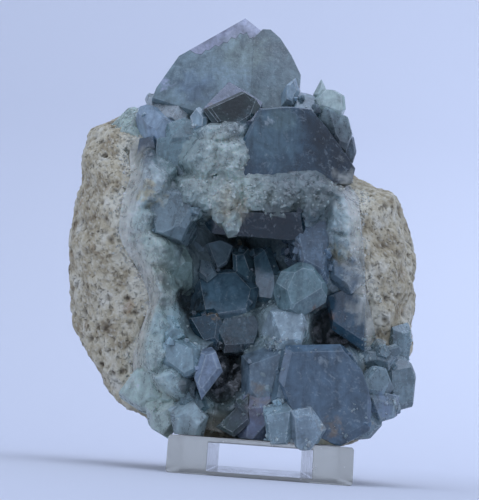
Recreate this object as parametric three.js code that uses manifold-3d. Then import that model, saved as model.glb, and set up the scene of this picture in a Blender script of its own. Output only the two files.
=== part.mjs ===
// A broken piece of a celestite geode on a clear block.
// Millimetres, +Z up, the open front of the geode faces -Y. Origin: middle of the underside.
import * as THREE from 'three';
import { ConvexGeometry } from 'three/addons/geometries/ConvexGeometry.js';
import { ParametricGeometry } from 'three/addons/geometries/ParametricGeometry.js';
import { mergeVertices } from 'three/addons/utils/BufferGeometryUtils.js';
import Module from 'manifold-3d';

const wasm = await Module();
wasm.setup();

// The clear block, and the slot that runs through it from front to back.
const STAND = { width: 75, depth: 100, height: 15, edge: 0.8 };
const SLOT = { width: 42.4, low: 1.6, high: 12.9 };

// Solids that touch keep this much air between them.
const GAP = 0.4;

// Corners of the joined solids are rounded to this.
const GRID = 0.02;

// Places on the stone are given as seen from the front: across and up, in millimetres on a
// flat sheet that stands SHEET away from the eye, and then the real depth of the place along Y.
const EYE = new THREE.Vector3(0, -405, 13);
const SHEET = 430;
const LOOK = { up: 12.7, left: 2.3, turn: 4.2 };

// The middle of the hollow, deepest inside the rock, and the middle of the rock's back.
const HOLLOW = { across: 0, up: 4, depth: 20 };
const BACK = { across: 0, up: -14, depth: 46 };

// The outline of the rock, round from its upper left: across, up and depth where it is widest,
// then the share of the way out from the middle at which the rim stands, and the rim's depth.
const ROCK_OUTLINE = [
  [-67, 65, 5, 0.80, -10],
  [-78, 52, 6, 0.70, -20],
  [-81.5, 32, 10, 0.72, -26],
  [-84, 8, 10, 0.71, -28],
  [-85.5, -12, 8, 0.62, -28],
  [-83, -30, 5, 0.58, -28],
  [-76, -50, 3, 0.60, -27],
  [-65, -72, 0, 0.82, -20],
  [-48, -84, 0, 0.92, -18],
  [-20, -95, -1, 0.94, -24],
  [15, -100, 0, 0.94, -28],
  [48, -98, 0, 0.93, -28],
  [72, -82, 0, 0.91, -20],
  [85, -56, 0, 0.80, -20],
  [88, -30, 1, 0.72, -27],
  [85, 0, 4, 0.73, -30],
  [79, 26, 4, 0.76, -27],
  [66, 32, 8, 0.88, -16],
  [52, 42, 12, 0.93, 0],
  [28, 74, 14, 0.93, 4],
  [0, 77, 14, 0.93, 2],
  [-38, 73, 13, 0.90, -2],
];
const ROCK_STEPS = { round: 40, bowl: 5, rind: 4, back: 7 };
const BED_THICK = 4;
const BED_SUNK = 3;
const BED_REACH = 0.97;

// The share of the swells that the rind takes, and how much further a grown rock is pushed out
// so that its slanting faces also clear the gap.
const RIND_SWELL = 0.7;
const SLANT = 1.5;

// Crystals, each given by the outline that it shows (across, up), the depth of its face, the
// lean of that face (how much it falls back for each millimetre across and up), and how far
// back the crystal runs to its root. cut is the share of the outline that the end face takes,
// and rise how far that face stands in front of the shoulders round it.
const CROWN = [
  // the largest crystal: a pale plate behind, its right part, and the milky front
  { depth: 4, lean: [0.05, 0.2], back: 30, cut: 0.93, rise: 3,
    outline: [[-45, 76], [-37.5, 90], [-29.5, 100.5], [-6, 115.5], [0, 117.3], [11, 109.5],
      [14, 80], [-20, 69]] },
  { depth: -3, lean: [0.25, 0.3], back: 30, cut: 0.88, rise: 4,
    outline: [[6, 106], [14, 110], [20.5, 104.5], [27.5, 94], [30.5, 87], [29.5, 71], [4, 70]] },
  { depth: -9, lean: [0.05, 0.3], back: 30, cut: 0.92, rise: 3,
    outline: [[-41, 75.5], [-34, 91], [-19.5, 101], [0, 109], [9.5, 105], [11.5, 74], [-5, 67],
      [-22, 68]] },
  // two crystals in front of its foot
  { depth: -20, lean: [0.1, 0.5], back: 24, cut: 0.85, rise: 3,
    outline: [[-18, 71], [-5, 84], [11.5, 74], [6, 63], [-12, 63]] },
  { depth: -25, lean: [0.2, 0.7], back: 24, cut: 0.8, rise: 2,
    outline: [[-17.5, 71.5], [1, 80], [11, 73.5], [9, 68], [2.5, 64], [-12.5, 64.5]] },
  { depth: -25, lean: [-0.2, 0.2], back: 22, cut: 0.5, rise: 3,
    outline: [[-20.5, 73], [-16.5, 68], [-17.5, 59], [-22.5, 59], [-25, 67]] },
  // upper left
  { depth: -8, lean: [-0.3, 0.3], back: 26, cut: 0.6, rise: 4,
    outline: [[-53.5, 66], [-50, 73.5], [-44, 76.5], [-35, 75.5], [-31, 69], [-34, 57], [-41, 54],
      [-50, 58]] },
  { depth: -4, lean: [-0.5, 0.4], back: 24, cut: 0.5, rise: 4,
    outline: [[-67, 64], [-61, 70], [-53, 73], [-48, 66], [-52, 57], [-62, 55]] },
  { depth: -16, lean: [-0.5, 0.1], back: 24, cut: 0.55, rise: 4,
    outline: [[-47, 54], [-41, 63], [-33, 61], [-31, 49], [-38, 42], [-45, 44]] },
  { depth: -21, lean: [-0.1, 0.1], back: 26, cut: 0.55, rise: 4,
    outline: [[-40, 59], [-28, 66.5], [-19, 62], [-19, 48], [-25, 37], [-35, 36], [-41, 46]] },
  // pale sugary clumps in the middle
  { depth: -31, lean: [0, 0.4], back: 24, cut: 0.6, rise: 3,
    outline: [[-19.5, 60], [-14, 65.5], [-1, 65], [1, 59], [-6, 54], [-17, 54.5]] },
  { depth: -33, lean: [-0.3, 0.1], back: 26, cut: 0.55, rise: 4,
    outline: [[-27, 45], [-20, 55], [-9, 55.5], [-6.5, 43], [-17, 35]] },
  { depth: -35, lean: [0.25, 0.1], back: 28, cut: 0.55, rise: 4,
    outline: [[-11, 52.5], [0, 54], [3, 45], [-1, 36], [-11, 36.5]] },
  // between the largest crystal and the dark one
  { depth: -8, lean: [0.1, 0.6], back: 26, cut: 0.7, rise: 3,
    outline: [[11, 79], [22, 82], [31, 77], [30, 68], [12, 68]] },
  // upper right, small pale faces
  { depth: -10, lean: [0.1, 0.3], back: 24, cut: 0.6, rise: 3,
    outline: [[27, 77], [31, 83.5], [36, 85], [42.5, 79], [42, 70], [29, 69]] },
  { depth: -4, lean: [0.3, 0.3], back: 26, cut: 0.55, rise: 4,
    outline: [[35, 80], [42, 85.5], [52, 81], [54.5, 71], [50, 66], [40, 70]] },
  { depth: -10, lean: [0.4, 0], back: 26, cut: 0.55, rise: 4,
    outline: [[40, 73], [53, 71.5], [57.5, 64], [53, 56], [45, 57]] },
  { depth: -6, lean: [0.5, 0], back: 24, cut: 0.5, rise: 3,
    outline: [[51, 62], [58, 60], [59.5, 51], [57, 44], [50, 46]] },
];

// The largest dark crystal, upper right. Its two faces meet on a long edge, so each corner
// has its own depth: across, up, depth.
const DARK_CROWN = {
  back: 26,
  corners: [[2, 55, -25], [11, 71.5, -19], [35, 70.5, -27], [47.5, 57.5, -17], [58, 42.5, -9],
    [55, 33, -12], [30, 35, -33], [1, 39, -30]],
};

const CRUST = [
  // along the left side of the hollow
  { depth: -33, lean: [-0.2, 0.3], back: 24, cut: 0.5, rise: 4,
    outline: [[-55, 32], [-45, 42.5], [-37, 36], [-39, 26], [-52.5, 25]] },
  { depth: -35, lean: [-0.1, 0.2], back: 26, cut: 0.7, rise: 3,
    outline: [[-50, 26], [-41, 32], [-26, 30], [-24, 19], [-31, 9], [-46, 11]] },
  { depth: -36, lean: [-0.4, 0.1], back: 20, cut: 0.5, rise: 3,
    outline: [[-60, 25], [-53, 29], [-47, 18], [-50, 7], [-59, 9]] },
  { depth: -36, lean: [-0.3, 0], back: 22, cut: 0.55, rise: 3,
    outline: [[-54, 7], [-46, 9], [-40, 3], [-41, -7], [-51, -8]] },
  { depth: -36, lean: [0.1, 0.1], back: 20, cut: 0.7, rise: 2,
    outline: [[-51, -7], [-42, -6], [-39, -15], [-47, -17]] },
  { depth: -29, lean: [-0.1, 0.2], back: 28, cut: 0.55, rise: 4,
    outline: [[-40, -6], [-36, 2], [-29, 3.5], [-25, -4], [-26, -13], [-32, -18], [-39, -15]] },
  { depth: -36, lean: [-0.3, -0.1], back: 22, cut: 0.6, rise: 3,
    outline: [[-50, -16], [-40, -14], [-36, -22], [-42, -28], [-50, -26]] },
  { depth: -34, lean: [0.2, 0.3], back: 24, cut: 0.6, rise: 3,
    outline: [[-32, 27], [-24, 29], [-19, 22], [-23, 16], [-31, 18]] },
  // the ledge of small pale crystals over the hollow
  { depth: -36, lean: [-0.1, 0.5], back: 26, cut: 0.5, rise: 3,
    outline: [[-29, 35], [-18, 37], [-11, 30], [-17, 21], [-27, 25]] },
  { depth: -39, lean: [0, 0.5], back: 28, cut: 0.5, rise: 3,
    outline: [[-14, 34], [-4, 36], [2, 30], [-3, 21], [-12, 22]] },
  { depth: -40, lean: [0, 0.3], back: 26, cut: 0.45, rise: 5,
    outline: [[-20, 26], [-8, 29], [3, 24], [-4, 11], [-13, 13]] },
  { depth: -38, lean: [0.1, 0.5], back: 28, cut: 0.5, rise: 3,
    outline: [[0, 35], [12, 36], [18, 30], [12, 21], [0, 22]] },
  { depth: -38, lean: [0.1, 0.4], back: 28, cut: 0.5, rise: 3,
    outline: [[14, 34], [28, 34], [32, 28], [24, 18], [13, 21]] },
  { depth: -36, lean: [0.2, 0.4], back: 26, cut: 0.5, rise: 3,
    outline: [[28, 33], [42, 31], [48, 26], [40, 17], [28, 19]] },
  { depth: -36, lean: [0, 0], back: 26, cut: 0.5, rise: 3,
    outline: [[7, 24], [20, 24], [26, 17], [16, 11], [6, 14]] },
  { depth: -30, lean: [0, -0.9], back: 28, cut: 0.9, rise: 2,
    outline: [[-12.5, 13], [0, 17], [29, 14], [30, 5], [-11.5, 9]] },
  // inside the hollow
  { depth: -7, lean: [0.3, 0.2], back: 18, cut: 0.5, rise: 3,
    outline: [[-29, 3], [-23, 6], [-18, -1], [-22, -8], [-28, -6]] },
  { depth: -12, lean: [0.1, 0.3], back: 22, cut: 0.65, rise: 2,
    outline: [[-20, -3.5], [-14, -4.5], [-11, -11], [-16, -15], [-21, -11]] },
  { depth: 0, lean: [0.1, 0.1], back: 16, cut: 0.8, rise: 2,
    outline: [[-17, 4], [-3, 4], [-6, -6], [-12, -10]] },
  { depth: -7, lean: [0.1, 0.2], back: 22, cut: 0.45, rise: 4,
    outline: [[-3, 2], [4, 3], [8, -8], [5, -17], [-2, -15]] },
  { depth: -9, lean: [-0.4, 0.1], back: 22, cut: 0.6, rise: 4,
    outline: [[6, 0], [14, 1], [19, -12], [17, -26], [8, -25]] },
  { depth: -15, lean: [0, 0.5], back: 28, cut: 0.7, rise: 4,
    outline: [[-25, -20], [-17.5, -10], [0, -9], [8, -17.5], [5, -30], [-12.5, -33], [-23.5, -28]] },
  { depth: -28, lean: [-0.1, 0.2], back: 30, cut: 0.65, rise: 4,
    outline: [[-26.5, -39], [-22.5, -29], [-14, -27.5], [-9.5, -36], [-11, -47.5], [-20, -50]] },
  { depth: -27, lean: [0.05, 0.4], back: 28, cut: 0.65, rise: 4,
    outline: [[-11, -40], [-6, -31], [5, -30], [9.5, -37.5], [6, -48], [-7, -49]] },
  // the bright crystal and its neighbour, right of the middle
  { depth: -41, lean: [0.1, 0.15], back: 38, cut: 0.66, rise: 4,
    outline: [[30, -5.5], [36, -7], [43.5, -17.5], [43, -23.5], [32.5, -30], [21.5, -26],
      [19, -17.5], [22.5, -9.5]] },
  { depth: -40, lean: [0, 0.3], back: 34, cut: 0.6, rise: 4,
    outline: [[12, -36], [17.5, -28], [29, -27.5], [33, -36], [30, -46.5], [16, -47]] },
  // along the right side of the hollow
  { depth: -30, lean: [-0.3, 0.1], back: 26, cut: 0.8, rise: 3,
    outline: [[43, -22], [52.5, -18], [62, -24], [61, -48], [46, -38]] },
  { depth: -34, lean: [-0.1, 0.2], back: 26, cut: 0.7, rise: 3,
    outline: [[45, 26], [56, 24], [62, 14], [56, 6], [44, 9]] },
  { depth: -36, lean: [0.2, 0.1], back: 24, cut: 0.6, rise: 3,
    outline: [[49, 8], [61, 8], [60, -2], [50, -3]] },
  { depth: -33, lean: [0.2, 0.2], back: 28, cut: 0.75, rise: 3,
    outline: [[30, 22], [42, 22], [47, 5], [44, -14], [33, -8], [29, 8]] },
  { depth: -34, lean: [-0.1, 0], back: 26, cut: 0.6, rise: 3,
    outline: [[44, 0], [58, -1], [62, -14], [55, -21], [45, -14]] },
  // lower left
  { depth: -37, lean: [-0.3, 0], back: 24, cut: 0.55, rise: 3,
    outline: [[-51, -26], [-41, -26], [-37, -37], [-42, -47], [-51, -42]] },
  { depth: -38, lean: [-0.1, 0.2], back: 24, cut: 0.6, rise: 3,
    outline: [[-41, -32], [-33, -33], [-29, -41], [-36, -46], [-42, -41]] },
  { depth: -42, lean: [-0.1, 0.2], back: 30, cut: 0.6, rise: 4,
    outline: [[-39, -47], [-30, -43], [-21.5, -46], [-20.5, -58], [-30, -63], [-38, -57]] },
  { depth: -38, lean: [-0.3, 0], back: 22, cut: 0.5, rise: 4,
    outline: [[-54, -46], [-44, -43], [-38, -52], [-42, -62], [-53, -60]] },
  { depth: -46, lean: [0.1, 0.1], back: 32, cut: 0.6, rise: 3,
    outline: [[-18, -48.5], [-13.5, -47.5], [-9, -60], [-18.5, -72.5], [-22, -62.5]] },
  { depth: -33, lean: [-0.3, -0.1], back: 22, cut: 0.5, rise: 4,
    outline: [[-62, -74], [-52, -60], [-40, -61], [-38, -74], [-50, -82]] },
  { depth: -42, lean: [-0.1, 0], back: 28, cut: 0.6, rise: 4,
    outline: [[-45, -64], [-34, -60], [-26, -67.5], [-30, -78], [-42, -78]] },
  { depth: -39, lean: [-0.2, -0.3], back: 26, cut: 0.5, rise: 4,
    outline: [[-49, -77], [-37.5, -75], [-30, -84], [-37, -94], [-47, -88]] },
  { depth: -43, lean: [0, -0.2], back: 28, cut: 0.6, rise: 4,
    outline: [[-35, -79], [-25, -76], [-17, -85], [-20, -96], [-31, -97]] },
  { depth: -38, lean: [0.2, 0.1], back: 26, cut: 0.6, rise: 3,
    outline: [[-28, -66], [-20, -68], [-15, -78], [-22, -83], [-29, -77]] },
  // lower middle
  { depth: -43, lean: [-0.2, 0.2], back: 26, cut: 0.8, rise: 2,
    outline: [[-11, -88], [4, -73], [4, -86], [-3, -92]] },
  { depth: -40, lean: [-0.15, 0.1], back: 32, cut: 0.7, rise: 4,
    outline: [[1, -55], [12, -50], [22, -55], [20, -74], [8, -78], [1, -70]] },
  { depth: -46, lean: [0.1, 0.1], back: 34, cut: 0.7, rise: 3,
    outline: [[21, -54], [30, -52], [33, -64], [24, -70]] },
  { depth: -43, lean: [-0.1, -0.1], back: 30, cut: 0.6, rise: 4,
    outline: [[2, -74], [14, -72], [17, -88], [10, -96], [0, -93]] },
  { depth: -51, lean: [0.12, 0.15], back: 42, cut: 0.72, rise: 5,
    outline: [[26, -49], [52.5, -48.5], [57, -53.5], [64.5, -75], [64, -87.5], [50, -95], [30, -85],
      [22.5, -65]] },
  { depth: -52, lean: [-0.1, -0.1], back: 32, cut: 0.55, rise: 4,
    outline: [[12, -79], [22, -77], [29, -84], [27, -98], [15, -99]] },
  { depth: -52, lean: [0.1, -0.2], back: 32, cut: 0.55, rise: 4,
    outline: [[26, -82], [36, -80], [43, -90], [37, -100], [27, -99]] },
  { depth: -47, lean: [0, -0.4], back: 26, cut: 0.6, rise: 3,
    outline: [[34, -90], [50, -90], [53, -98], [43, -101], [33, -100]] },
  // lower right
  { depth: -37, lean: [0.3, 0.1], back: 28, cut: 0.6, rise: 3,
    outline: [[62, -65], [68, -58.5], [76, -60], [79, -68], [73, -76], [64, -75]] },
  { depth: -35, lean: [0.3, -0.2], back: 28, cut: 0.6, rise: 3,
    outline: [[61, -74], [72, -72], [81, -74], [80, -83], [66, -87]] },
  { depth: -37, lean: [0.2, -0.3], back: 28, cut: 0.5, rise: 3,
    outline: [[55, -80], [68, -80], [74, -85], [66, -94], [54, -95]] },
  { depth: -18, lean: [0.5, 0], back: 22, cut: 0.5, rise: 3,
    outline: [[79, -39], [86, -37], [88.5, -46], [87, -57], [79, -56]] },
  { depth: -25, lean: [0.4, 0], back: 26, cut: 0.5, rise: 4,
    outline: [[73, -54], [84, -52], [88, -62], [86.5, -77], [79, -79], [73, -68]] },
  { depth: -31, lean: [0.2, 0.1], back: 26, cut: 0.5, rise: 3,
    outline: [[64, -47], [74, -46], [80, -54], [74, -61], [64, -58]] },
];

// Patches where small crystals crowd together: the middle of the patch, its half size across
// and up, its depth, how many crystals there are, and how wide one is.
const CROWN_PATCHES = [
  { at: [-10, 60], half: [14, 4], depth: -32, count: 2, wide: 5 },
  { at: [-14, 44], half: [12, 8], depth: -38, count: 4, wide: 5 },
  { at: [46, 76], half: [8, 7], depth: -9, count: 2, wide: 5 },
];
const CRUST_PATCHES = [
  { at: [-10, 28], half: [16, 7], depth: -40, count: 2, wide: 5 },
  { at: [28, 27], half: [20, 6], depth: -38, count: 3, wide: 5 },
  { at: [-46, -70], half: [10, 12], depth: -38, count: 2, wide: 5 },
];
const SMALL_LENGTH = 12;

// A crystal narrows to this share of its outline at its root.
const ROOT_SHARE = 0.8;

// Neighbours are drawn this much larger than the outline that shows, so that they interlock.
const INTERLOCK = { crown: 1.02, crust: 1.12 };

// Where things are seen from, as unit vectors: to the right, up and away.
function lookingAxes() {
  const left = THREE.MathUtils.degToRad(LOOK.left);
  const raised = THREE.MathUtils.degToRad(LOOK.up);
  const turned = THREE.MathUtils.degToRad(LOOK.turn);
  const side = new THREE.Vector3(Math.cos(left), Math.sin(left), 0);
  const away = new THREE.Vector3(-Math.sin(left), Math.cos(left), 0)
    .multiplyScalar(Math.cos(raised))
    .addScaledVector(new THREE.Vector3(0, 0, 1), Math.sin(raised));
  const top = new THREE.Vector3().crossVectors(side, away);
  const right = side.clone().multiplyScalar(Math.cos(turned)).addScaledVector(top, Math.sin(turned));
  const up = top.clone().multiplyScalar(Math.cos(turned)).addScaledVector(side, -Math.sin(turned));
  return { right, up, away };
}
const AXES = lookingAxes();

function sightLine(across, up) {
  return AXES.away.clone().multiplyScalar(SHEET)
    .addScaledVector(AXES.right, across)
    .addScaledVector(AXES.up, up);
}

// The point seen at (across, up) whose depth along Y is given.
function placed(across, up, depth) {
  const line = sightLine(across, up);
  return EYE.clone().addScaledVector(line, (depth - EYE.y) / line.y);
}

// The point seen at (across, up) on the plane through anchor with the given normal.
function placedOnPlane(across, up, anchor, normal) {
  const line = sightLine(across, up);
  const reach = anchor.clone().sub(EYE).dot(normal) / line.dot(normal);
  return EYE.clone().addScaledVector(line, reach);
}

function toSolid(geometry) {
  geometry.deleteAttribute('normal');
  geometry.deleteAttribute('uv');
  const merged = mergeVertices(geometry, 1e-5);
  const corners = merged.index.array;
  const whole = [];
  for (let i = 0; i < corners.length; i += 3) {
    const [a, b, c] = [corners[i], corners[i + 1], corners[i + 2]];
    if (a !== b && b !== c && c !== a) whole.push(a, b, c);
  }
  return new wasm.Manifold(new wasm.Mesh({
    numProp: 3,
    vertProperties: new Float32Array(merged.attributes.position.array),
    triVerts: new Uint32Array(whole),
  }));
}

function toGeometry(solid) {
  const mesh = solid.getMesh();
  const geometry = new THREE.BufferGeometry();
  geometry.setAttribute('position', new THREE.BufferAttribute(new Float32Array(mesh.vertProperties), 3));
  geometry.setIndex(new THREE.BufferAttribute(new Uint32Array(mesh.triVerts), 1));
  geometry.computeVertexNormals();
  return geometry;
}

function joined(solids) {
  let level = solids;
  while (level.length > 1) {
    const next = [];
    for (let i = 0; i < level.length; i += 2) {
      next.push(i + 1 < level.length ? level[i].add(level[i + 1]) : level[i]);
    }
    level = next;
  }
  return level[0];
}

// The same solid with its corners on a fine grid, so that hair-thin slivers close up.
function snapped(solid) {
  const geometry = toGeometry(solid);
  const places = geometry.attributes.position.array;
  for (let i = 0; i < places.length; i += 1) places[i] = Math.round(places[i] / GRID) * GRID;
  return toSolid(geometry);
}

// The largest closed body: crumbs cut loose and pockets closed on all sides are left out.
function mainBody(solid) {
  let body = solid;
  for (let pass = 0; pass < 3; pass += 1) {
    const bodies = body.decompose();
    bodies.sort((a, b) => b.volume() - a.volume());
    body = snapped(bodies[0]);
  }
  return body;
}

function block(low, high) {
  const size = new THREE.Vector3().subVectors(high, low);
  const middle = new THREE.Vector3().addVectors(high, low).multiplyScalar(0.5);
  const geometry = new THREE.BoxGeometry(size.x, size.y, size.z);
  geometry.translate(middle.x, middle.y, middle.z);
  return toSolid(geometry);
}

function middleOf(points) {
  const middle = new THREE.Vector3();
  for (const point of points) middle.add(point);
  return middle.divideScalar(points.length);
}

// A crystal: its outline on a leaning plane, carried back as shoulders, sides and root.
// grow makes every side stand that much further out.
function faceCrystal({ outline, depth, lean, back, cut, rise }, size, grow) {
  const across = outline.reduce((sum, corner) => sum + corner[0], 0) / outline.length;
  const up = outline.reduce((sum, corner) => sum + corner[1], 0) / outline.length;
  const anchor = placed(across, up, depth);
  const normal = new THREE.Vector3(lean[0], -1, lean[1]).normalize();
  const corners = outline.map(([a, u]) => placedOnPlane(a, u, anchor, normal));
  const middle = middleOf(corners);
  const ring = (share, behind) => corners.map((corner) => {
    const arm = corner.clone().sub(middle);
    const reach = arm.length() * share + grow;
    return middle.clone().addScaledVector(arm.normalize(), reach).addScaledVector(normal, -behind);
  });
  const points = [
    ...ring(size * cut, -grow),
    ...ring(size, rise),
    ...ring(size * ROOT_SHARE, back + grow),
  ];
  return toSolid(new ConvexGeometry(points));
}

// A crystal whose front corners each have their own depth, carried back along Y.
function corneredCrystal({ corners, back }, grow) {
  const front = corners.map(([across, up, depth]) => placed(across, up, depth));
  const middle = middleOf(front);
  const points = [];
  for (const corner of front) {
    const arm = corner.clone().sub(middle);
    const reach = arm.clone().normalize().multiplyScalar(grow);
    const outer = corner.clone().add(reach);
    points.push(outer.clone().add(new THREE.Vector3(0, -grow, 0)));
    points.push(outer.clone().addScaledVector(arm, -0.25).add(new THREE.Vector3(0, back + grow, 0)));
    points.push(outer.clone().addScaledVector(arm, -0.02).add(new THREE.Vector3(0, back * 0.6, 0)));
  }
  return toSolid(new ConvexGeometry(points));
}

// A small six-sided crystal with a chisel tip, from a tip point along an axis into the rock.
function smallCrystal({ tip, axis, turn, wide, length }, grow) {
  const side = new THREE.Vector3().crossVectors(axis, new THREE.Vector3(0.3, 0.2, 1)).normalize();
  side.applyAxisAngle(axis, turn);
  const flat = new THREE.Vector3().crossVectors(axis, side);
  const ring = (alongWide, alongFlat, behind) => {
    const corners = [];
    for (let i = 0; i < 6; i += 1) {
      const angle = (i * Math.PI) / 3;
      corners.push(tip.clone()
        .addScaledVector(side, Math.cos(angle) * (alongWide + grow))
        .addScaledVector(flat, Math.sin(angle) * (alongFlat + grow))
        .addScaledVector(axis, behind));
    }
    return corners;
  };
  return toSolid(new ConvexGeometry([
    ...ring(wide * 0.55, wide * 0.12, -grow),
    ...ring(wide, wide * 0.7, wide * 0.8),
    ...ring(wide * 0.8, wide * 0.55, length + grow),
  ]));
}

// Numbers from 0 to 1 that come out the same each time.
function sequence(seed) {
  let state = seed;
  return () => {
    state = (state * 1664525 + 1013904223) % 4294967296;
    return state / 4294967296;
  };
}

function patchCrystals(patches, seed) {
  const next = sequence(seed);
  const crystals = [];
  for (const patch of patches) {
    for (let i = 0; i < patch.count; i += 1) {
      const angle = next() * Math.PI * 2;
      const share = Math.sqrt(next());
      const across = patch.at[0] + Math.cos(angle) * share * patch.half[0];
      const up = patch.at[1] + Math.sin(angle) * share * patch.half[1];
      const tip = placed(across, up, patch.depth - 2 + next() * 4);
      const axis = new THREE.Vector3(next() * 1.6 - 0.8, 1, next() * 1.6 - 0.8).normalize();
      crystals.push({ tip, axis, turn: next() * Math.PI, wide: patch.wide * (0.6 + next() * 0.7),
        length: SMALL_LENGTH });
    }
  }
  return crystals;
}

// Low swells and hollows of the rock, as a height in millimetres at a point.
function swell(point) {
  return 1.5 * Math.sin(point.x * 0.11 + point.z * 0.05 + 1.3)
    + 1.3 * Math.sin(point.z * 0.13 - point.y * 0.09 + 0.4)
    + 1.0 * Math.sin(point.y * 0.21 + point.x * 0.17 - point.z * 0.06 + 2.1)
    + 0.7 * Math.sin(point.z * 0.31 + point.x * 0.23 + 4.0)
    + 0.6 * Math.sin(point.y * 0.37 - point.z * 0.27 + 5.2);
}

const outlineCurve = new THREE.CatmullRomCurve3(
  ROCK_OUTLINE.map(([across, up, depth]) => new THREE.Vector3(across, up, depth)), true, 'catmullrom');
const rimCurve = new THREE.CatmullRomCurve3(
  ROCK_OUTLINE.map(([, , , share, depth]) => new THREE.Vector3(share, depth, 0)), true, 'catmullrom');

// The bowl in the front of the rock: round is the turn about the middle, out the way to the rim.
function bowlPoint(round, out, forward) {
  const edge = outlineCurve.getPoint(round);
  const rim = rimCurve.getPoint(round);
  const share = rim.x * out;
  const across = HOLLOW.across + (edge.x - HOLLOW.across) * share;
  const up = HOLLOW.up + (edge.y - HOLLOW.up) * share;
  const depth = HOLLOW.depth + (rim.y - HOLLOW.depth) * Math.sin(out * Math.PI / 2);
  const point = placed(across, up, depth);
  point.y += swell(point) * out - forward;
  return point;
}

// The rind from the rim to the widest outline, a quarter round.
function rindPoint(round, along) {
  const edge = outlineCurve.getPoint(round);
  const rim = rimCurve.getPoint(round);
  const turn = along * Math.PI / 2;
  const share = rim.x + (1 - rim.x) * Math.sin(turn);
  const across = HOLLOW.across + (edge.x - HOLLOW.across) * share;
  const up = HOLLOW.up + (edge.y - HOLLOW.up) * share;
  return placed(across, up, rim.y + (edge.z - rim.y) * (1 - Math.cos(turn)));
}

// The back of the rock, from the widest outline to its middle.
function backPoint(round, along) {
  const edge = outlineCurve.getPoint(round);
  const turn = along * Math.PI / 2;
  const share = Math.cos(turn) ** 0.8;
  const across = BACK.across + (edge.x - BACK.across) * share;
  const up = BACK.up + (edge.y - BACK.up) * share;
  return placed(across, up, edge.z + (BACK.depth - edge.z) * Math.sin(turn) ** 0.9);
}

// The whole rock as one closed surface. grow makes it stand that much further out all over.
function rockSolid(grow) {
  const steps = ROCK_STEPS.bowl + ROCK_STEPS.rind + ROCK_STEPS.back;
  const rimStep = ROCK_STEPS.bowl;
  const wideStep = ROCK_STEPS.bowl + ROCK_STEPS.rind;
  const heart = placed(0, 0, 8);
  const surface = (u, v, target) => {
    const round = (1 - u) % 1;
    const step = v * steps;
    let point;
    if (step <= rimStep) point = bowlPoint(round, step / ROCK_STEPS.bowl, 0);
    else if (step <= wideStep) point = rindPoint(round, (step - rimStep) / ROCK_STEPS.rind);
    else point = backPoint(round, Math.min(1, (step - wideStep) / ROCK_STEPS.back));
    const outward = point.clone().sub(heart).normalize();
    const inBowl = step < rimStep;
    target.copy(point);
    if (inBowl) target.y -= grow * SLANT;
    else target.addScaledVector(outward, swell(point) * RIND_SWELL + grow * SLANT);
  };
  return toSolid(new ParametricGeometry(surface, ROCK_STEPS.round, steps));
}

// The layer that the crust's crystals stand on, lining the bowl.
function bedSolid() {
  const half = ROCK_STEPS.bowl;
  const surface = (u, v, target) => {
    const step = Math.round(v * half * 2);
    const out = (step <= half ? step : half * 2 - step) / half;
    const forward = step <= half ? BED_THICK : -BED_SUNK;
    target.copy(bowlPoint((1 - u) % 1, out * BED_REACH, forward));
  };
  return toSolid(new ParametricGeometry(surface, ROCK_STEPS.round, half * 2));
}

function standSolid(grow) {
  const half = new THREE.Vector3(STAND.width / 2 + grow, STAND.depth / 2 + grow, 0);
  const low = new THREE.Vector3(-half.x, -half.y, -grow);
  const high = new THREE.Vector3(half.x, half.y, STAND.height + grow);
  return block(low, high);
}

function standWithSlot() {
  const outline = new THREE.Shape();
  const halfWidth = STAND.width / 2;
  outline.moveTo(-halfWidth + STAND.edge, 0);
  outline.lineTo(halfWidth - STAND.edge, 0);
  outline.lineTo(halfWidth, STAND.edge);
  outline.lineTo(halfWidth, STAND.height - STAND.edge);
  outline.lineTo(halfWidth - STAND.edge, STAND.height);
  outline.lineTo(-halfWidth + STAND.edge, STAND.height);
  outline.lineTo(-halfWidth, STAND.height - STAND.edge);
  outline.lineTo(-halfWidth, STAND.edge);
  outline.closePath();
  const slot = new THREE.Path();
  slot.moveTo(-SLOT.width / 2, SLOT.low);
  slot.lineTo(-SLOT.width / 2, SLOT.high);
  slot.lineTo(SLOT.width / 2, SLOT.high);
  slot.lineTo(SLOT.width / 2, SLOT.low);
  slot.closePath();
  outline.holes.push(slot);
  const geometry = new THREE.ExtrudeGeometry(outline, { depth: STAND.depth, bevelEnabled: false });
  geometry.rotateX(Math.PI / 2);
  geometry.translate(0, STAND.depth / 2, 0);
  return toSolid(geometry);
}

function crystalGroup(faces, cornered, small, size, grow) {
  return joined([
    ...faces.map((crystal) => faceCrystal(crystal, size, grow)),
    ...cornered.map((crystal) => corneredCrystal(crystal, grow)),
    ...small.map((crystal) => smallCrystal(crystal, grow)),
  ]);
}

const crownSmall = patchCrystals(CROWN_PATCHES, 11);
const crustSmall = patchCrystals(CRUST_PATCHES, 29);

const crown = mainBody(crystalGroup(CROWN, [DARK_CROWN], crownSmall, INTERLOCK.crown, 0));
const crownGrown = crystalGroup(CROWN, [DARK_CROWN], crownSmall, INTERLOCK.crown, GAP);
const standGrown = standSolid(GAP);
const crust = mainBody(joined([bedSolid(), crystalGroup(CRUST, [], crustSmall, INTERLOCK.crust, 0)])
  .subtract(rockSolid(GAP))
  .subtract(crownGrown)
  .subtract(standGrown));
const rock = mainBody(rockSolid(0).subtract(crownGrown).subtract(standGrown));

const MATERIALS = {
  rock: new THREE.MeshStandardMaterial({ color: 0x9a8f7c, roughness: 0.95, metalness: 0 }),
  crown: new THREE.MeshStandardMaterial({ color: 0x8ea3b0, roughness: 0.2, metalness: 0 }),
  crust: new THREE.MeshStandardMaterial({ color: 0x6f8794, roughness: 0.25, metalness: 0 }),
  stand: new THREE.MeshStandardMaterial({ color: 0xc9c9bd, roughness: 0.08, metalness: 0 }),
};

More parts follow.
